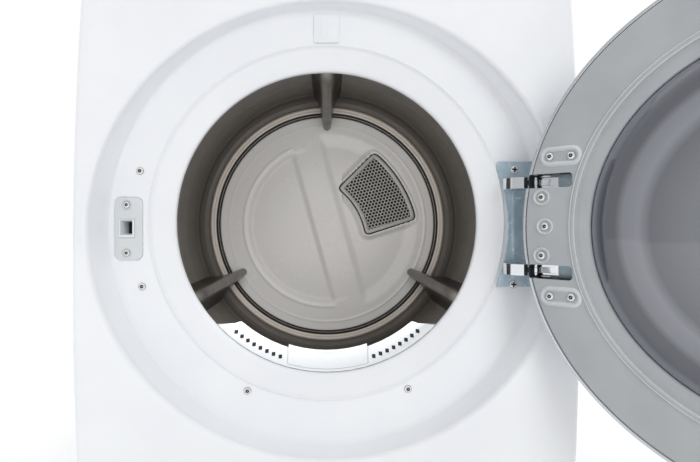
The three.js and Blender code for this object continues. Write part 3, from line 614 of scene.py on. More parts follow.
# %% Tone by distance from the drum's axis
def from_axis(made, near, far):
    """The distance from the drum's axis, 0 at near metres and 1 at far metres."""
    flat = made.node("ShaderNodeMapping")
    flat.inputs["Location"].default_value = (0, 0, -AXIS_Z / 1000)
    made.join(made.place, flat.inputs["Vector"])
    squeeze = made.node("ShaderNodeVectorMath", operation="MULTIPLY")
    squeeze.inputs[1].default_value = (1, 0, 1)
    made.join(flat.outputs["Vector"], squeeze.inputs[0])
    reach = made.node("ShaderNodeVectorMath", operation="LENGTH")
    made.join(squeeze.outputs["Vector"], reach.inputs[0])
    return map_range(made.tree, reach.outputs["Value"], near, far)


drum_paint = Recipe("drum_enamel")
# The ramp paints the bead at the back much lighter, as painted light where it faces the front, and the gap inside
# it nearly black, as painted shade.
drum_paint.join(
    drum_paint.ramp(from_axis(drum_paint, 0.28, 0.33), [
        (0.0, (46, 44, 42)), (0.11, (46, 44, 42)), (0.15, (214, 205, 195)),
        (0.4, (208, 199, 189)), (0.47, (96, 91, 86)), (1.0, (93, 88, 83))]),
    drum_paint.shader.inputs["Base Color"])
drum_paint.join(drum_paint.between(drum_paint.noise(0.05, 3, (1, 0.2, 1)), 0.3, 0.4),
                drum_paint.shader.inputs["Roughness"])
drum_paint.bump(drum_paint.noise(0.002, 2), 0.00003)
drum_paint.set(Metallic=0.3)

smoky = Recipe("lifter_plastic")
# The ramp is painted light: dark at the crest and the foot as painted shade, palest a little below the crest as a
# painted highlight.
smoky.join(smoky.ramp(from_axis(smoky, 0.226, 0.322), [
    (0.0, (52, 50, 47)), (0.05, (56, 53, 50)), (0.2, (92, 88, 83)),
    (0.42, (62, 59, 55)), (0.7, (44, 42, 39)), (1.0, (40, 38, 36))]),
    smoky.shader.inputs["Base Color"])
smoky.join(smoky.between(smoky.noise(0.03), 0.28, 0.38), smoky.shader.inputs["Roughness"])
smoky.bump(smoky.noise(0.002, 2), 0.00003)
smoky.set(Transmission_Weight=0.1, IOR=1.3, Coat_Weight=0.1)

# %% Glass with its band and rings
glass = Recipe("smoked_glass")
distance = glass.node("ShaderNodeAttribute", attribute_name="from_centre")
glass.join(glass.ramp(distance.outputs["Fac"], [
    (0.0, (150, 153, 160)), (0.5, (158, 161, 168)), (0.68, (136, 139, 146)),
    (0.74, (176, 179, 187)), (0.82, (164, 167, 175)), (0.86, (120, 123, 130)),
    (0.94, (112, 115, 124)), (1.0, (176, 180, 190))]), glass.shader.inputs["Base Color"])
glass.join(glass.between(glass.noise(0.08), 0.03, 0.06), glass.shader.inputs["Roughness"])
glass.set(Transmission_Weight=0.4, IOR=1.5, Coat_Weight=0.5)
print("finishes:", len(finishes), sorted(set(slot_of.values()) - set(finishes)))

# %% [markdown]
# ## The front panel
# One pressed sheet makes the whole face: a gently bowed front, a deep round recess that the
# door closes into, and a sloping funnel to the drum. It could be cut from solids, but
# then its soft shoulders would have to be rounded afterwards. Here each ray from the door's
# centre is followed outwards, from the lip of the opening to the edge of the sheet, so every
# curve of the press is one more row of points.

# %% Heights of the sheet
def bow(z):
    """The front falls back by the square of the height above or below its middle."""
    return FRONT + 28 * ((z - 413) / 400) ** 2


latch_low, latch_high = box_mm("latch_plate")
filler_spots = np.array([[-266, 553.5], [-263.1, 388.6], [-112.6, 239.6], [116.4, 242.4]])


def box_distance(x, z, low, high, radius):
    """How far a point is outside a rounded rectangle, negative inside."""
    mid, half = (np.array(low) + high) / 2, (np.array(high) - low) / 2
    dx, dz = abs(x - mid[0]) - half[0] + radius, abs(z - mid[1]) - half[1] + radius
    outside = np.hypot(np.maximum(dx, 0), np.maximum(dz, 0))
    return outside + np.minimum(np.maximum(dx, dz), 0) - radius


def floor_dents(x, z):
    """A pocket for the latch plate and a soft dimple at each small screw."""
    pocket = box_distance(x, z, latch_low[[0, 2]] - 0.3, latch_high[[0, 2]] + 0.3, 10)
    dents = 3.2 * smoothstep(0.9, -0.9, pocket)
    for sx, sz in filler_spots:
        dents = dents + ridge(np.hypot(x - sx, z - sz), 0, 6.5, 0.4)
    return dents, pocket


# %% Rows of the sheet, from the opening to its edge
corner = np.arctan2([TOP - DOOR_Z, TOP - DOOR_Z, LOW - DOOR_Z, LOW - DOOR_Z],
                    [HALF, -HALF, -HALF, HALF])
near_latch = np.linspace(169, 191, 80)
rays = np.unique(np.round(np.concatenate([
    np.linspace(-np.pi, np.pi, 400, endpoint=False),
    np.radians(near_latch) - 2 * np.pi * (near_latch > 180), corner]), 6))
cos, sin = np.cos(rays), np.sin(rays)


def row(radius, depth, middle):
    """One ring of the sheet: a radius and depth for every ray, about a centre height."""
    return np.stack([radius * cos, depth + 0 * cos, middle + radius * sin], -1)


def edge_row(inset):
    """The sheet's outline, moved inwards: each ray stops at the side or end it meets first."""
    across = (HALF - inset) / np.maximum(abs(cos), 1e-9)
    height = np.where(sin > 0, TOP - DOOR_Z, DOOR_Z - LOW) - inset
    reach = np.minimum(across, height / np.maximum(abs(sin), 1e-9))
    x, z = reach * cos, DOOR_Z + reach * sin
    side = np.clip(1 - (HALF - abs(x)) / 8, 0, 1)
    end = np.clip(1 - np.minimum(TOP - z, z - LOW) / 4, 0, 1)
    roll = np.maximum(8 * (1 - np.sqrt(1 - side**2)), 4 * (1 - np.sqrt(1 - end**2)))
    return np.stack([x, bow(z) + roll, z], -1)


rows = [row(r, y, AXIS_Z) for r, y in [
    (218.9, -286.3), (218.1, -287), (218, -290), (218.5, -292), (220, -293.6), (224, -295.1),
    (232, -298), (240, -300.8), (247, -303.3), (250.4, -304.6), (251.4, -305.9), (252.6, -306.6),
    (253.8, -305.9), (255.0, -305)]]
for r in np.linspace(257, 300, 38):
    rows.append(row(r, FLOOR, AXIS_Z + (DOOR_Z - AXIS_Z) * float(smoothstep(256, 300, r))))
bend = np.linspace(0, 1, 6)[1:, None]
WALL_FOOT, LEAN, FOOT_R, FOOT_Y = 309, 0.3056, 310.4, -309.6
foot = blend(np.array([300, FLOOR]), np.array([WALL_FOOT, FLOOR]), np.array([FOOT_R, FOOT_Y]), bend)
rows += [row(r, y, DOOR_Z) for r, y in foot]

meet = WALL_FOOT + LEAN * (FLOOR - FRONT - 4)
for _ in range(6):
    front_here = bow(DOOR_Z + meet * sin)
    meet = WALL_FOOT + LEAN * (FLOOR - front_here)
round_in = np.minimum(11, 0.32 * (FLOOR - front_here))
start_r, start_y = meet - LEAN * round_in, front_here + round_in
for s in (0.25, 0.5, 0.75):
    rows.append(row(FOOT_R + (start_r - FOOT_R) * s, FOOT_Y + (start_y - FOOT_Y) * s, DOOR_Z))
past = meet + 5
for t in np.linspace(0, 1, 10):
    rows.append(row(blend(start_r, meet, past, t),
                    blend(start_y, front_here, bow(DOOR_Z + past * sin), t), DOOR_Z))
inner_row, outer_row = rows[-1], edge_row(8)
for s in (0.12, 0.25, 0.4, 0.55, 0.7, 0.85):
    flat = inner_row + (outer_row - inner_row) * s
    flat[:, 1] = bow(flat[:, 2])
    rows.append(flat)
rows += [edge_row(inset) for inset in (8, 6, 4.2, 2.7, 1.5, 0.6, 0.1, 0)]
for depth in (-325, -315, -308.2):
    back = rows[-1].copy()
    back[:, 1] = np.maximum(back[:, 1], depth)
    rows.append(back)
sheet = np.stack(rows)
dents, pocket = floor_dents(sheet[..., 0], sheet[..., 2])
on_floor = (np.arange(len(sheet)) > 13) & (np.arange(len(sheet)) < 56)
sheet[..., 1] += np.where(on_floor[:, None], dents, 0)
print("front panel grid", sheet.shape)

# %% The front panel's mesh, with the latch window left open
faces = grid_faces(*sheet.shape[:2])
in_pocket = (pocket.reshape(-1)[faces] < -2.2).all(1)
hidden = in_pocket & (sheet.reshape(-1, 3)[faces][..., 1] > -310).all(1)
front_panel = piece("front_sheet", mesh_from("front_sheet", sheet, faces[~hidden], (0, -1, 0)),
                    node="front_panel", sharp=50)
wall = front_panel.modifiers.new("thickness", "SOLIDIFY")
wall.thickness, wall.offset = 0.001, -1
filler_places = np.column_stack([filler_spots[:, 0], [FLOOR + 0.2] * 4, filler_spots[:, 1]])
screws("filler_screws", filler_places, (0, -1, 0), 5.4, "cabinet")

# %% [markdown]
# ## The rest of the cabinet
# The side sheets, the top, the back and the pan are flat folded sheets, and their frame
# pieces already have the right shape. A copy of each gets a narrow round along its
# edges, which is what catches the light on a real folded sheet.

# %% Panels, pan and feet
for node, width in (("side_panel_left", 0.8), ("side_panel_right", 0.8), ("top_panel", 2.0),
                    ("rear_panel", 0.3), ("base_pan", 0.8), ("terminal_cover", 1.2),
                    ("levelling_foot_1", 1.2), ("levelling_foot_2", 1.2),
                    ("levelling_foot_3", 1.2), ("levelling_foot_4", 1.2)):
    softened(node, width)
rear_low, rear_high = box_mm("rear_panel")
up = np.linspace(rear_low[2] + 30, rear_high[2] - 30, 6)
across = np.linspace(-300, 300, 5)
flat_spots = np.vstack([
    np.column_stack([np.repeat([-330, 330], 6), np.tile(up, 2)]),
    np.column_stack([across, np.full(5, rear_high[2] - 12)]),
    np.column_stack([across[[0, 1, 3, 4]], np.full(4, rear_low[2] + 10)])])
edge_spots = np.insert(flat_spots, 1, rear_high[1], axis=1)
screws("rear_screws", edge_spots, (0, 1, 0), 4.2, "cabinet")
print("rear screws:", len(edge_spots))

# %% [markdown]
# ## The control console
# A moulded cap closes the top of the front. Its section is carried from side to side, with
# the last millimetres drawn in at both ends, which rounds the ends as a moulding is rounded.

# %% Console, knob, buttons and display
console_low, console_high = box_mm("control_console")
section = eased([[console_high[1], console_low[2]], [console_high[1], console_high[2]],
                 [-282, console_high[2]], [-298, 955], [-304, 944], [-314, 895],
                 [console_low[1], console_low[2]]], 9, 7)
stations = np.array([[-HALF, -4.0], [-HALF + 0.5, -2.2], [-HALF + 1.6, -0.9], [-HALF + 4, 0],
                     [0, 0], [HALF - 4, 0], [HALF - 1.6, -0.9], [HALF - 0.5, -2.2], [HALF, -4.0]])
console_grid = np.stack([
    np.column_stack([np.full(len(section), x), grown(section, by)]) for x, by in stations])
shell("console_cap", console_grid, caps=True, node="control_console")
softened("display_lens", 1.5, segments=3)

knob_low, knob_high = box_mm("program_knob")
knob_z = (knob_low[2] + knob_high[2]) / 2
profile = eased([[0.01, knob_low[1]], [22, knob_low[1]], [26.5, knob_low[1] + 3], [28, -323],
                 [31, -320.5], [31, -317], [13, -317], [13, knob_high[1]], [0.01, knob_high[1]]],
                1.2, 4, closed=False)
knob = turned(profile, (0, knob_z), 180)
ribs = smoothstep(24, 26.5, np.hypot(knob[..., 0], knob[..., 2] - knob_z)) * (knob[..., 1] < -322)
turn = round_angles(180)
scale = 1 - 0.02 * ribs * (0.5 + 0.5 * np.cos(36 * turn))
knob[..., 0] *= scale
knob[..., 2] = knob_z + (knob[..., 2] - knob_z) * scale
shell("program_dial", knob, node="program_knob")
mark = rounded_box((-1, 1), (knob_z + 10, knob_z + 21), 0.9, 5)
front = knob_low[1]
mark_rows = nested([mark, mark, grown(mark, -0.3)], [front + 0.1, front - 0.05, front - 0.1])
shell("dial_mark", mark_rows[::-1], caps=True, body="knob", slot="white_plastic")
for i in range(1, 5):
    low, high = box_mm(f"push_button_{i}")
    mid, f = (low + high) / 2, low[1]
    cap = eased([[0.01, f + 0.5], [3, f + 0.4], [6, f + 0.05], [8, f + 0.5], [9, f + 2],
                 [9, high[1]], [0.01, high[1]]], 1.0, 4, closed=False)
    shell(f"button_cap_{i}", turned(cap, (mid[0], mid[2]), 64), node=f"push_button_{i}")
print("console made")

# %% [markdown]
# ## The drum
# The drum is rolled sheet with pressed ends. Its section is drawn once, inside and outside,
# and turned about the axis. A fine bead runs round it where two sheets are joined, and
# a broader ridge stiffens it before the round shoulder at the back. Inside the shoulder a
# rounded bead, then a flat ring, frame the rear wall.

# %% The drum's section, turned
front_y, back_y = drum_low[1], drum_high[1]
R = DRUM_INSIDE


along = np.concatenate([np.linspace(front_y + 9, 140, 22), np.linspace(141, 157, 17),
                        np.linspace(162, 283, 48)])
wall_r = (R - ridge(along, 149, 1.3, 0.9) - ridge(along, 262, 6, 2.0) - ridge(along, 246, 3, 0.7)
          - ridge(along, -205, 5, 1.2))
inside = np.column_stack([wall_r, along])
mouth = eased([[247, front_y], [247, front_y + 1], [R - 8, front_y + 1], [R, front_y + 9]],
              3, 5, False)
shoulder = [[R, 283], [R - 3, 292], [R - 10, 297.6], [R - 20.5, 300.4]]
bead = [[R - 22, 299.6], [R - 24, 296.4], [R - 28, 294.2], [R - 32, 296.2], [R - 34.5, 300.4]]
ring_and_back = [[281.6, 301], [281, 301.3], [281, back_y], [R - 20, 301.4], [R - 9, 298.8],
                 [R - 1.4, 292.3], [R + 1, 283]]
tail = eased(shoulder + bead + ring_and_back, 3, 5, False)
outside = np.array([[R + 1, front_y + 8.6], [R - 7.6, front_y]])
drum_shell = turned(np.vstack([mouth, inside[1:-1], tail, outside]), (0, AXIS_Z), 200)
shell("drum_shell", drum_shell, join_rows=True, node="drum", sharp=50)
print("drum grid", drum_shell.shape)

# %% [markdown]
# ## The lifters
# Three hollow fins throw the laundry up as the drum turns. Each is a smooth tent across,
# carried along the drum, and its height falls off quickly at both ends by a steep
# superellipse, so the ends are round. A thin foot with a wavy edge lies on the drum's wall.

# %% A lifter and its foot
half_tent = [[34, 321.5], [31, 314], [25, 305], [18, 288], [13, 262], [10.5, 240], [8, 232]]
tent = eased(half_tent + [[0, 228]] + [[-x, r] for x, r in half_tent[::-1]], 9, 6, closed=False)


def placed(x, r, y, angle):
    """Local x across and r out from the axis, turned so that r points at the angle."""
    turn = math.radians(angle - 90)
    return np.stack([x * math.cos(turn) - r * math.sin(turn), y,
                     AXIS_Z + x * math.sin(turn) + r * math.cos(turn)], -1)


lift_low, lift_high = box_mm("drum_lifter_1")
ease_in = 0.5 - 0.5 * np.cos(np.linspace(0, np.pi, 46))
for number, angle in enumerate((90, 210, 330), 1):
    v = ease_in[:, None]
    rise = (1 - abs(2 * v - 1) ** 22 * 0.995) ** (1 / 3)
    x = tent[None, :, 0] * (0.3 + 0.7 * rise)
    r = 321.5 - (321.5 - tent[None, :, 1]) * rise
    y = lift_low[1] + (lift_high[1] - lift_low[1]) * v + 0 * x
    shell(f"lifter_{number}", placed(x, r, y, angle), caps=True, node=f"drum_lifter_{number}",
          sharp=60)
    y = np.linspace(lift_low[1] - 6, lift_high[1] + 4, 90)[:, None]
    half = 38 + 1.6 * np.tanh(3 * np.cos(y / 59 * 2 * np.pi + 0.4))
    half = half * np.clip(1 - abs((y - 32) / 252) ** 30, 0.5, 1)
    across = np.array([-1.02, -1.0, -0.97, -0.5, 0, 0.5, 0.97, 1.0, 1.02])[None, :]
    lift = np.array([0.0, 0.5, 0.8, 0.8, 0.8, 0.8, 0.8, 0.5, 0.0])[None, :]
    bend = across * half / R
    x, r = (R - lift) * np.sin(bend), (R - lift) * np.cos(bend)
    foot = placed(x, r, y + 0 * x, angle)
    inward = (-math.cos(math.radians(angle)), 0, -math.sin(math.radians(angle)))
    shell(f"lifter_foot_{number}", foot, join_columns=False, facing=inward, body="drum_body",
          slot="lifter_plastic", finish="drum_enamel", sharp=60)
    spots = placed(np.array([-31.5, 31.5] * 3), np.full(6, R - 2.2),
                   np.repeat([-60.0, 133, 251], 2), angle)
    screws(f"lifter_screws_{number}", spots, inward, 2.4, "drum_body")
print("lifters made")

# %% [markdown]
# ## The rear wall
# The wall behind the drum stays still. It is pressed sheet: a round dish, a bead outside it
# and a broad bar across. Each of these is a height that depends only on where a point
# lies, so the wall is one polar grid with those heights added up. The grille's patch is left
# out of it, and a lip stands round that patch.

# %% The grille's outline
corners = np.radians([56.5, 72.6, -16, 3.2])
reach = np.array([221, 95, 103, 229])
ends = np.column_stack([reach * np.cos(corners), AXIS_Z + reach * np.sin(corners)])
t = np.linspace(0, 1, 24, endpoint=False)[:, None]
parts = []
for start, stop, bulge in zip(ends, np.roll(ends, -1, 0), (0, 14, 0, -16)):
    way = stop - start
    normal = np.array([-way[1], way[0]]) / np.linalg.norm(way)
    parts.append(start + way * t + normal * bulge * 4 * t * (1 - t))
patch = np.vstack(parts)
for _ in range(5):
    patch = (np.roll(patch, 1, 0) + 2 * patch + np.roll(patch, -1, 0)) / 4
patch = patch.mean(0) + (patch - patch.mean(0)) * 1.03


def outline_distance(points, outline):
    """How far each point is outside a closed outline, negative inside. The nearest side
    gives the distance, and the number of sides crossed on the way out gives the sign."""
    a, b = outline, np.roll(outline, -1, 0)
    way = b - a
    rel = points[:, None] - a[None]
    s = np.clip((rel * way).sum(-1) / (way**2).sum(-1), 0, 1)
    near = np.linalg.norm(rel - s[..., None] * way, axis=-1).min(1)
    cross = ((a[None, :, 1] > points[:, None, 1]) != (b[None, :, 1] > points[:, None, 1])) & (
        points[:, None, 0] < way[:, 0] * rel[..., 1] / np.where(way[:, 1] == 0, 1e-9, way[:, 1])
        + a[None, :, 0])
    return np.where(cross.sum(1) % 2 == 1, -near, near)


# %% The pressed wall
WALL = 297.0
r = np.concatenate([[0.02], np.linspace(3, 186, 84), np.linspace(187.5, 272, 58)])[:, None]
a = round_angles(300)[None, :]
x, z = r * np.cos(a), r * np.sin(a)
bar_across = x * math.cos(math.radians(15.5)) + z * math.sin(math.radians(15.5))
left = smoothstep(10, -10, bar_across)
dish = 8.2 * (smoothstep(207, 191, r) * left + smoothstep(236, 196, r) * (1 - left))
bar = smoothstep(-44, -28, bar_across) * smoothstep(52, 32, bar_across)
low_right = 0.5 + 0.5 * np.cos(a - math.radians(-35))
depth = (WALL + dish * (1 - 0.85 * bar) - ridge(r, 252, 3, 0.4 + 1.6 * low_right**3)
         - ridge(r, 213, 4, 1.8) * left * (1 - bar))
flat = np.stack([x.ravel(), AXIS_Z + z.ravel()], -1)
close = (flat[:, 0] > 40) & (flat[:, 1] > AXIS_Z - 60) & (flat[:, 1] < AXIS_Z + 230)
away = np.full(len(flat), 99.0)
away[close] = outline_distance(flat[close], patch)
away = away.reshape(depth.shape)
lip = ridge(away, 4.2, 2.3, 2.6) - 0.9 * smoothstep(2.2, 0.4, away)
beside = smoothstep(16, 4, away)
depth = depth * (1 - beside) + (WALL + 0.6) * beside - lip
wall_grid = np.stack([x, depth, AXIS_Z + z], -1)
rim = turned([[274, WALL + 0.6], [274.9, WALL + 2], [275, WALL + 7]], (0, AXIS_Z), 300)
square = np.stack([np.cos(a[0]), np.sin(a[0])], -1)
stretch = np.minimum(330 / np.maximum(abs(square[:, 0]), 1e-9),
                     np.where(square[:, 1] > 0, 420, 365) / np.maximum(abs(square[:, 1]), 1e-9))
plate = np.stack([square[:, 0] * stretch, np.full(300, 304.2), AXIS_Z + square[:, 1] * stretch], -1)
wall_grid = np.concatenate([wall_grid, rim, plate[None]])
faces = grid_faces(*wall_grid.shape[:2])
inside_patch = np.zeros(wall_grid.shape[:2], bool)
inside_patch[:len(r)] = away < -1.2
piece("rear_wall", mesh_from("rear_wall", wall_grid, faces[~inside_patch.reshape(-1)[faces].all(1)],
                             (0, -1, 0)), node="rear_bulkhead", sharp=60)
print("rear wall grid", wall_grid.shape)

# %% [markdown]
# ## The air grille
# Warm air comes in through a plate full of six-sided holes. One cell is a six-sided ring
# with a short inner wall, and it is repeated on a tilted triangular lattice wherever the
# whole cell lies inside the outline. A rim covers the ragged edge of the cells, and a black
# band round it is painted shade in its groove.

# %% Cells of the grille
pitch, tilt = 8.8, math.radians(14)
step_a = pitch * np.array([math.cos(tilt), math.sin(tilt)])
step_b = pitch * np.array([math.cos(tilt + math.pi / 3), math.sin(tilt + math.pi / 3)])
count = np.arange(-20, 21)
ia, ib = np.meshgrid(count, count)
middles = patch.mean(0) + ia.reshape(-1, 1) * step_a + ib.reshape(-1, 1) * step_b
middles = middles[outline_distance(middles, patch) < -9.5]
hexagon = tilt + math.radians(30) + np.arange(6) * math.pi / 3
ring = np.stack([np.cos(hexagon), np.sin(hexagon)], -1)
sizes = [(pitch / 3**0.5 + 0.01, 298.0), (4.0, 298.0), (3.75, 298.25), (3.75, 299.4)]
cells = np.stack([np.stack([middles[:, None, 0] + s * ring[:, 0], np.full((len(middles), 6), y),
                            middles[:, None, 1] + s * ring[:, 1]], -1) for s, y in sizes], 1)
faces = repeated(grid_faces(4, 6), len(middles), 24)
piece("grille_cells", mesh_from("grille_cells", cells, faces, (0, -1, 0)), node="air_grille",
      sharp=50)
rim_rows = [(-12.5, 299.0), (-12.3, 298.2), (-11.6, 297.7), (-4.4, 296.9), (-3.4, 297.4),
            (-2.6, 299.6), (0.6, 299.8), (0.6, 300.4), (-12.5, 300.4)]
shell("grille_rim", nested([grown(patch, g) for g, _ in rim_rows], [y for _, y in rim_rows]),
      join_rows=True, body="cabinet", slot="grille_steel", sharp=60)
# A black band at the foot of the groove is painted shade.
groove = nested([grown(patch, -3.6), grown(patch, 0.4)], [298.1, 298.1])
shell("grille_groove", groove, body="cabinet", slot="black_plastic")
# A closed black slab just behind the holes is painted shade, so the holes read dark.
shade_outline = grown(patch, 1.5)
shell("duct_lining", nested([shade_outline, shade_outline], [309.0, 311.0]), caps=True, body="cabinet",
      slot="black_plastic")
print("cells in the grille:", len(middles))

# %% [markdown]
# ## Seals, rollers and the hidden works
# The felt rings and the two rubber rollers are plain turned sections. The motor, blower,
# ducts and belt are seen only from below or through gaps, so their frame pieces are kept.

# %% Felt rings, rollers and shafts
for node, name in (("front_felt_seal", "front_felt"), ("rear_felt_seal", "rear_felt")):
    low, high = box_mm(node)
    outer = high[0]
    inner = {"front_felt": 239.4, "rear_felt": 275.4}[name]
    section = eased([[inner, low[1]], [outer, low[1]], [outer, high[1]], [inner, high[1]]], 0.8, 4)
    shell(name, turned(section, (0, AXIS_Z), 160), join_rows=True, node=node)
for side in ("left", "right"):
    low, high = box_mm(f"rear_roller_{side}")
    mid = (low + high) / 2
    section = eased([[6.4, low[1]], [30, low[1] + 1], [34, low[1]], [34, high[1]],
                     [30, high[1] - 1], [6.4, high[1]]], 1.5, 5)
    shell(f"roller_{side}", turned(section, (mid[0], mid[2]), 96), join_rows=True,
          node=f"rear_roller_{side}")
for node in ("front_bulkhead", "heater_housing", "blower_housing", "motor", "motor_pulley",
             "lint_duct", "idler_arm", "exhaust_duct"):
    softened(node, 0.3)
print("works softened")

# %% [markdown]
# ## The lint cover, latch and top clip
# A white moulding closes the lower lip of the opening, with two rows of square air holes, and
# the lint filter slides into its middle. Its upper ends are cut off level, and dark gauze
# lies just inside the holes, on the slope of the cover. The latch is a grey plate sunk in
# the recess floor with a square socket that narrows as it goes in.

# %% Lint cover and filter
cover = softened("lint_duct_cover", 0.5, angle=32)
LEVEL_END, HOLE_RADIUS, HALF_HOLE, HOLE_STEP = 331, 208, 2.6, 2.93
above = np.array([[-260, -400, LEVEL_END], [260, -400, LEVEL_END], [260, -400, 450],
                  [-260, -400, 450]], float)
cut(cover, np.stack([above, above + [0, 300, 0]]))
softened("lint_filter", 0.6, angle=32)
angles = np.radians(np.concatenate([start + HOLE_STEP * np.arange(8) for start in (230.5, 289.5)]))
angles = angles[:, None]
corner_out = HALF_HOLE * np.array([-1, -1, 1, 1]) + HOLE_RADIUS
corner_along = HALF_HOLE * np.array([-1, 1, 1, -1])
px = corner_out * np.cos(angles) - corner_along * np.sin(angles)
pz = AXIS_Z + corner_out * np.sin(angles) + corner_along * np.cos(angles)
py = -290.5 + 13.5 * (217.2 - corner_out) / 18.2 + 0 * px
gauze = np.stack([np.stack([px, py + step, pz], -1) for step in (0.5, 1.1)], 1)
faces = repeated(np.vstack([grid_faces(2, 4), [[0, 1, 2, 3]], [[4, 5, 6, 7]]]), len(angles), 8)
piece("lint_gauze", mesh_from("lint_gauze", gauze, faces), body="cabinet", slot="black_plastic",
      sharp=30)

# %% Latch plate and socket
lx, lz = (latch_low[0], latch_high[0]), (latch_low[2], latch_high[2])
socket_low, socket_high = box_mm("latch_socket")
sx, sz = (socket_low[0], socket_high[0]), (socket_low[2], socket_high[2])
hole = rounded_box((sx[0] - 0.3, sx[1] + 0.3), (sz[0] - 0.3, sz[1] + 0.3), 1.0)
rim = rounded_box(lx, lz, 10)
front = latch_low[1]
plate_rows = nested([hole, hole, grown(rim, -1.6), grown(rim, -0.5), rim, rim],
                    [front + 1.6, front, front, front + 0.15, front + 0.7, front + 1.6])
shell("latch_face", plate_rows, join_rows=True, node="latch_plate", finish="latch_grey")
body_outline = rounded_box(sx, sz, 0.9)
mouth_outline = rounded_box((sx[0] + 1.8, sx[1] - 2.6), (sz[0] + 3.2, sz[1] - 1.4), 0.7)
throat = rounded_box((sx[0] + 3.4, sx[1] - 4.3), (sz[0] + 5.3, sz[1] - 3.2), 0.6)
face_y = socket_low[1]
shell("latch_throat", nested([body_outline, body_outline, grown(body_outline, -0.6), mouth_outline,
                              throat, throat],
                             [socket_high[1], face_y + 0.5, face_y, face_y, face_y + 9, -272]),
      caps=True, node="latch_socket", finish="socket_grey")
# A black block deep in the socket is painted shade at the bottom of the hole.
dark = rounded_box((sx[0] + 3.2, sx[1] - 4.1), (sz[0] + 5.1, sz[1] - 3.0), 0.5)
shell("latch_dark", nested([dark, dark], [-276.0, -274.0]), caps=True, body="cabinet",
      slot="black_plastic")
latch_spots = np.array([[-285.3, front, 505.2], [-285.3, front, 436.5]])
washers("latch_rings", latch_spots, (0, -1, 0), 7.4, "cabinet", "grey_plastic", 0.72, 1.3,
        "latch_grey")
screws("latch_screws", latch_spots, (0, -1, 0), 4.8, "cabinet")

# %% The clip at the top of the recess
clip_low, clip_high = box_mm("bumper_clip")
clip = rounded_box((clip_low[0], clip_high[0]), (clip_low[2], clip_high[2]), 3)
front = clip_low[1]
shell("top_clip", nested([clip, clip, grown(clip, -0.5), grown(clip, -1.2)],
                         [clip_high[1], front + 0.5, front + 0.1, front]), caps=True,
      node="bumper_clip")
loop = np.linspace(np.pi, 2 * np.pi, 17)
hoop = np.column_stack([-2.6 + 4.7 * np.cos(loop), 746.7 + 4.7 * np.sin(loop)])
tongue = np.vstack([[-7.3, 768], hoop, [2.1, 768]])
way = np.gradient(tongue, axis=0)
way /= np.linalg.norm(way, axis=1, keepdims=True)
side = np.stack([way[:, 1], -way[:, 0]], -1)
profile = np.array([[-0.8, 0.2], [-0.8, -0.2], [-0.4, -0.45], [0.4, -0.45], [0.8, -0.2],
                    [0.8, 0.2]])
groove = np.stack([tongue[:, None, 0] + side[:, None, 0] * profile[None, :, 0],
                   front + profile[None, :, 1] + 0 * tongue[:, None, 0],
                   tongue[:, None, 1] + side[:, None, 1] * profile[None, :, 0]], -1)
shell("clip_tongue", groove, caps=True, body="cabinet", slot="white_plastic")
print("fittings made")

# %% [markdown]
# ## The hinge
# A zinc plated bracket is screwed to the recess floor, and two chromed arms reach out of it
# to the pins in the door. Their frame pieces are right in shape, so they get soft edges, and
# screws in shallow rings hold the bracket.

# %% Bracket, arms and pins
for node, width in (("hinge_bracket", 0.5), ("hinge_arm_upper", 0.9), ("hinge_arm_lower", 0.9),
                    ("hinge_pin_upper", 0.4), ("hinge_pin_lower", 0.4), ("door_hinge_plate", 0.4)):
    softened(node, width, segments=3)
plate_y = -308.2
bracket_spots = np.array([[267, plate_y, 555], [265.6, plate_y, 392]])
washers("bracket_rings", bracket_spots, (0, -1, 0), 6.0, "cabinet", "zinc_plate")
screws("bracket_screws", bracket_spots, (0, -1, 0), 5.8, "cabinet", cross=True)
print("hinge made")

# %% [markdown]
# ## The door
# The door is drawn shut, where its rings are simple to describe, and every point is then
# turned about the hinge's axis to where the frame holds it open. It has a grey inner frame
# with a step round the glass, a silver shell, a bulging inner glass and a flatter outer one.
# The slots for the hinge arms are cut from the finished rings, lined with black wells that
# are painted shade, and closed by zinc floors. Two fine pale lines run round the step as
# painted highlights, and pale lips round the pads and dishes of the screws are painted
# highlights too.

# %% Turning the door open
def opened(grid):
    """Every point goes round the hinge's upright axis by the angle the door stands open."""
    c, s = math.cos(OPEN), math.sin(OPEN)
    x, y = grid[..., 0] - HINGE[0], grid[..., 1] - HINGE[1]
    return np.stack([HINGE[0] + c * x - s * y, HINGE[1] + s * x + c * y, grid[..., 2]], -1)


def slot_heights(side, by):
    """The lower and upper edge of one arm's slot, moved outwards by so many millimetres."""
    return sorted((HINGE[2] + side * (49.5 - by), HINGE[2] + side * (67.5 + by)))


def slot_tool(side, y):
    """The closed shape of one arm's slot, drawn shut and then opened with the door."""
    outline = rounded_box((226, 320), slot_heights(side, 0), 5)
    return opened(nested([outline, outline], y))


def door_ring(name, outline, **where):
    """A closed outline turned about the door's centre, then opened with the door."""
    ring = opened(turned(outline, (0, DOOR_Z), 240))
    return shell(name, ring, join_rows=True, **where)


# %% The two rings of the door
inner_y = -320.0
face = [[206.5, inner_y - 5.4], [208, inner_y - 3.4], [221.5, inner_y - 3.0],
        [222.6, inner_y - 3.0], [224.6, inner_y + 1.4], [227.6, inner_y + 1.7],
        [230.8, inner_y], [283.3, inner_y], [284.3, inner_y - 1]]
back = [[284.3, inner_y - 14], [281.8, inner_y - 14], [281.8, inner_y - 2.5],
        [231, inner_y - 2.5], [226, inner_y - 5.4], [209.5, inner_y - 5.9],
        [209, inner_y - 16], [206.5, inner_y - 16]]
inner = eased(face + back, 0.9, 4)
ring = door_ring("door_inner_ring", inner, node="door_inner_frame")
for side in (1, -1):
    cut(ring, slot_tool(side, (-345, -312)))
circle = round_angles(8)
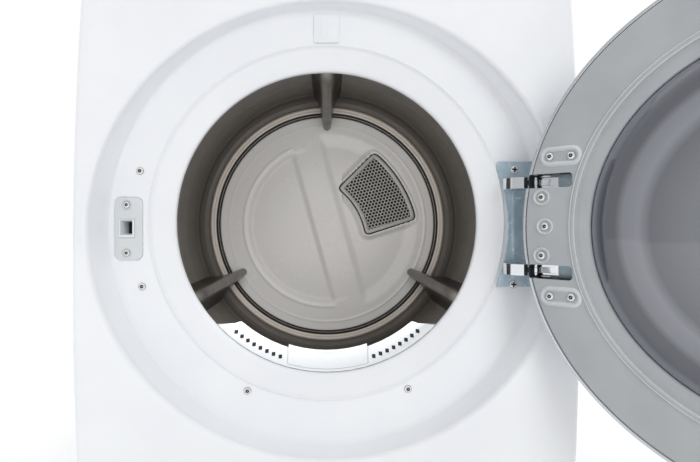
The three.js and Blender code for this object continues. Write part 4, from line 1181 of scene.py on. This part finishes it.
# Two thin pale rings on the step, in the paler grey, are painted highlights.
for radius in (224.6, 229.8):
    line = np.column_stack([radius + 0.8 * np.cos(circle), inner_y + 0.9 + 0.8 * np.sin(circle)])
    door_ring(f"door_highlight_line_{radius:.0f}", line, body="door", slot="grey_plastic", finish="lip_grey")
outer = eased([[285, -321], [289, -321], [290, -323], [290, -347], [286, -354], [276, -358.5],
               [246, -360.5], [206, -366], [206, -363], [246, -357.5], [275, -355.5], [283, -351.5],
               [286, -345.5], [285, -340]], 1.6, 5)
ring = door_ring("door_shell", outer, node="door_outer_frame")
for side in (1, -1):
    cut(ring, slot_tool(side, (-352.2, -312)))
for side, name in ((1, "upper"), (-1, "lower")):
    z = slot_heights(side, 0.3)
    # Each black well is painted shade: a dark sheet lining the slot where shade falls.
    well = rounded_box((225.6, 281), z, 5.2)
    wider = grown(well, 1)
    wall = nested([well, well, wider, wider], [-323.2, -351.4, -351.4, -323.2])
    shell(f"slot_shade_well_{name}", opened(wall), join_rows=True, body="door", slot="black_plastic")
    slot_floor = rounded_box((226, 254), z, 5)
    shell(f"slot_floor_{name}", opened(nested([slot_floor] * 2, [-351.9, -351.5])), caps=True,
          body="door", slot="polished_chrome", finish="zinc_plate")
softened("latch_hook", 0.6)
print("door rings made")

# %% The two glasses
def glass_disc(name, profile, node, radius):
    """A closed lens turned about the door's centre, with each point's share of the radius."""
    grid = opened(turned(eased(profile, 6, 5, closed=False), (0, DOOR_Z), 200))
    obj = shell(name, grid, node=node, sharp=50)
    centre = opened(np.array([[0.0, -330.0, DOOR_Z]]))[0]
    axis = opened(np.array([[0.0, -331.0, DOOR_Z]]))[0] - centre
    rel = points_mm(obj.data) - centre
    across = np.linalg.norm(rel - (rel @ axis)[:, None] * axis, axis=1)
    keep_number(obj.data, "from_centre", across / radius)
    return obj


glass_disc("door_bowl", [[0.01, -305], [80, -306], [150, -309.6], [190, -316], [206.2, -326],
                         [206.2, -332], [187, -320], [149, -313.6], [80, -310], [0.01, -309]],
           "door_glass", 206.2)
glass_disc("door_pane", [[0.01, -385], [110, -380.8], [205.6, -366], [205.6, -362], [109, -376.8],
                         [0.01, -381]], "door_window", 205.6)

# %% Screws and pads of the door's hinge side
def shut_point(inward, z):
    """A spot on the inner frame, so far in from its hinge edge, as it is when shut."""
    return [284.5 - inward, inner_y, z]


into = opened(np.array([[0, 1.0, 0], [0, 0, 0]]))
face_way = into[0] - into[1]
flat_spots = opened(np.array([shut_point(inward, HINGE[2] + up) for inward, up in (
    (31, 89), (57, 88), (31, -89), (57, -88))]))
round_spots = opened(np.array([shut_point(inward, HINGE[2] + up) for inward, up in (
    (20.5, 37.5), (24.7, 0), (20.5, -37.5))]))
screws("door_screws", np.vstack([flat_spots, round_spots]), face_way, 5.2, "door")
# The pale lips round the round screws and the pads, in the paler grey, are painted highlights.
washers("door_rings", round_spots, face_way, 10.6, "door", "grey_plastic", 0.7, 2.2, "lip_grey")
PAD_HALF, LIP = 8.4, [(4.2, 0.5), (4.2, -0.05), (3.0, -1.2), (1.6, -2.2), (0.4, -2.3),
                      (-0.8, -1.4), (-2.4, -0.05), (-2.6, 0.5)]
for side, name in ((1, "upper"), (-1, "lower")):
    middle = HINGE[2] + side * 88.5
    pad = rounded_box((284.5 - 57 - 9, 284.5 - 31 + 9), (middle - PAD_HALF, middle + PAD_HALF),
                      8.3, 12)
    grid = nested([grown(pad, g) for g, _ in LIP], [inner_y - y for _, y in LIP])
    shell(f"door_pad_{name}", opened(grid), join_rows=True, body="door", slot="grey_plastic",
          finish="lip_grey")
print("door made")

# %% [markdown]
# ## Finishes for what is left, the floor and the end
# Every frame piece that still shows gets the finish of its own slot. The floor is a plain
# pale sheet just under the feet. The look may never grow past the frame.

# %% Finishes on the frame's own pieces
kept = [n for n, obj in frame["nodes"].items() if not obj.hide_render]
for node in kept:
    frame["nodes"][node].data.materials.clear()
    frame["nodes"][node].data.materials.append(finishes[slot_of[node]])
print("frame pieces shown:", len(kept), kept)

# %% The floor
floor_z = frame_box[0][2] * 1000
span = np.linspace(-9000, 9000, 2)
gx, gy = np.meshgrid(span, span, indexing="ij")
floor_mesh = mesh_from("floor", np.stack([gx, gy, np.full_like(gx, floor_z - 0.2)], -1),
                       grid_faces(2, 2, join_columns=False), (0, 0, 1))
floor = bpy.data.objects.new("floor", floor_mesh)
scene.collection.objects.link(floor)
pale = finish("floor_paint", (251, 251, 251), (248, 248, 249), patch=0.8, rough=(0.5, 0.6),
              grain=0.01, depth=0.00005)
floor_mesh.materials.append(pale.material)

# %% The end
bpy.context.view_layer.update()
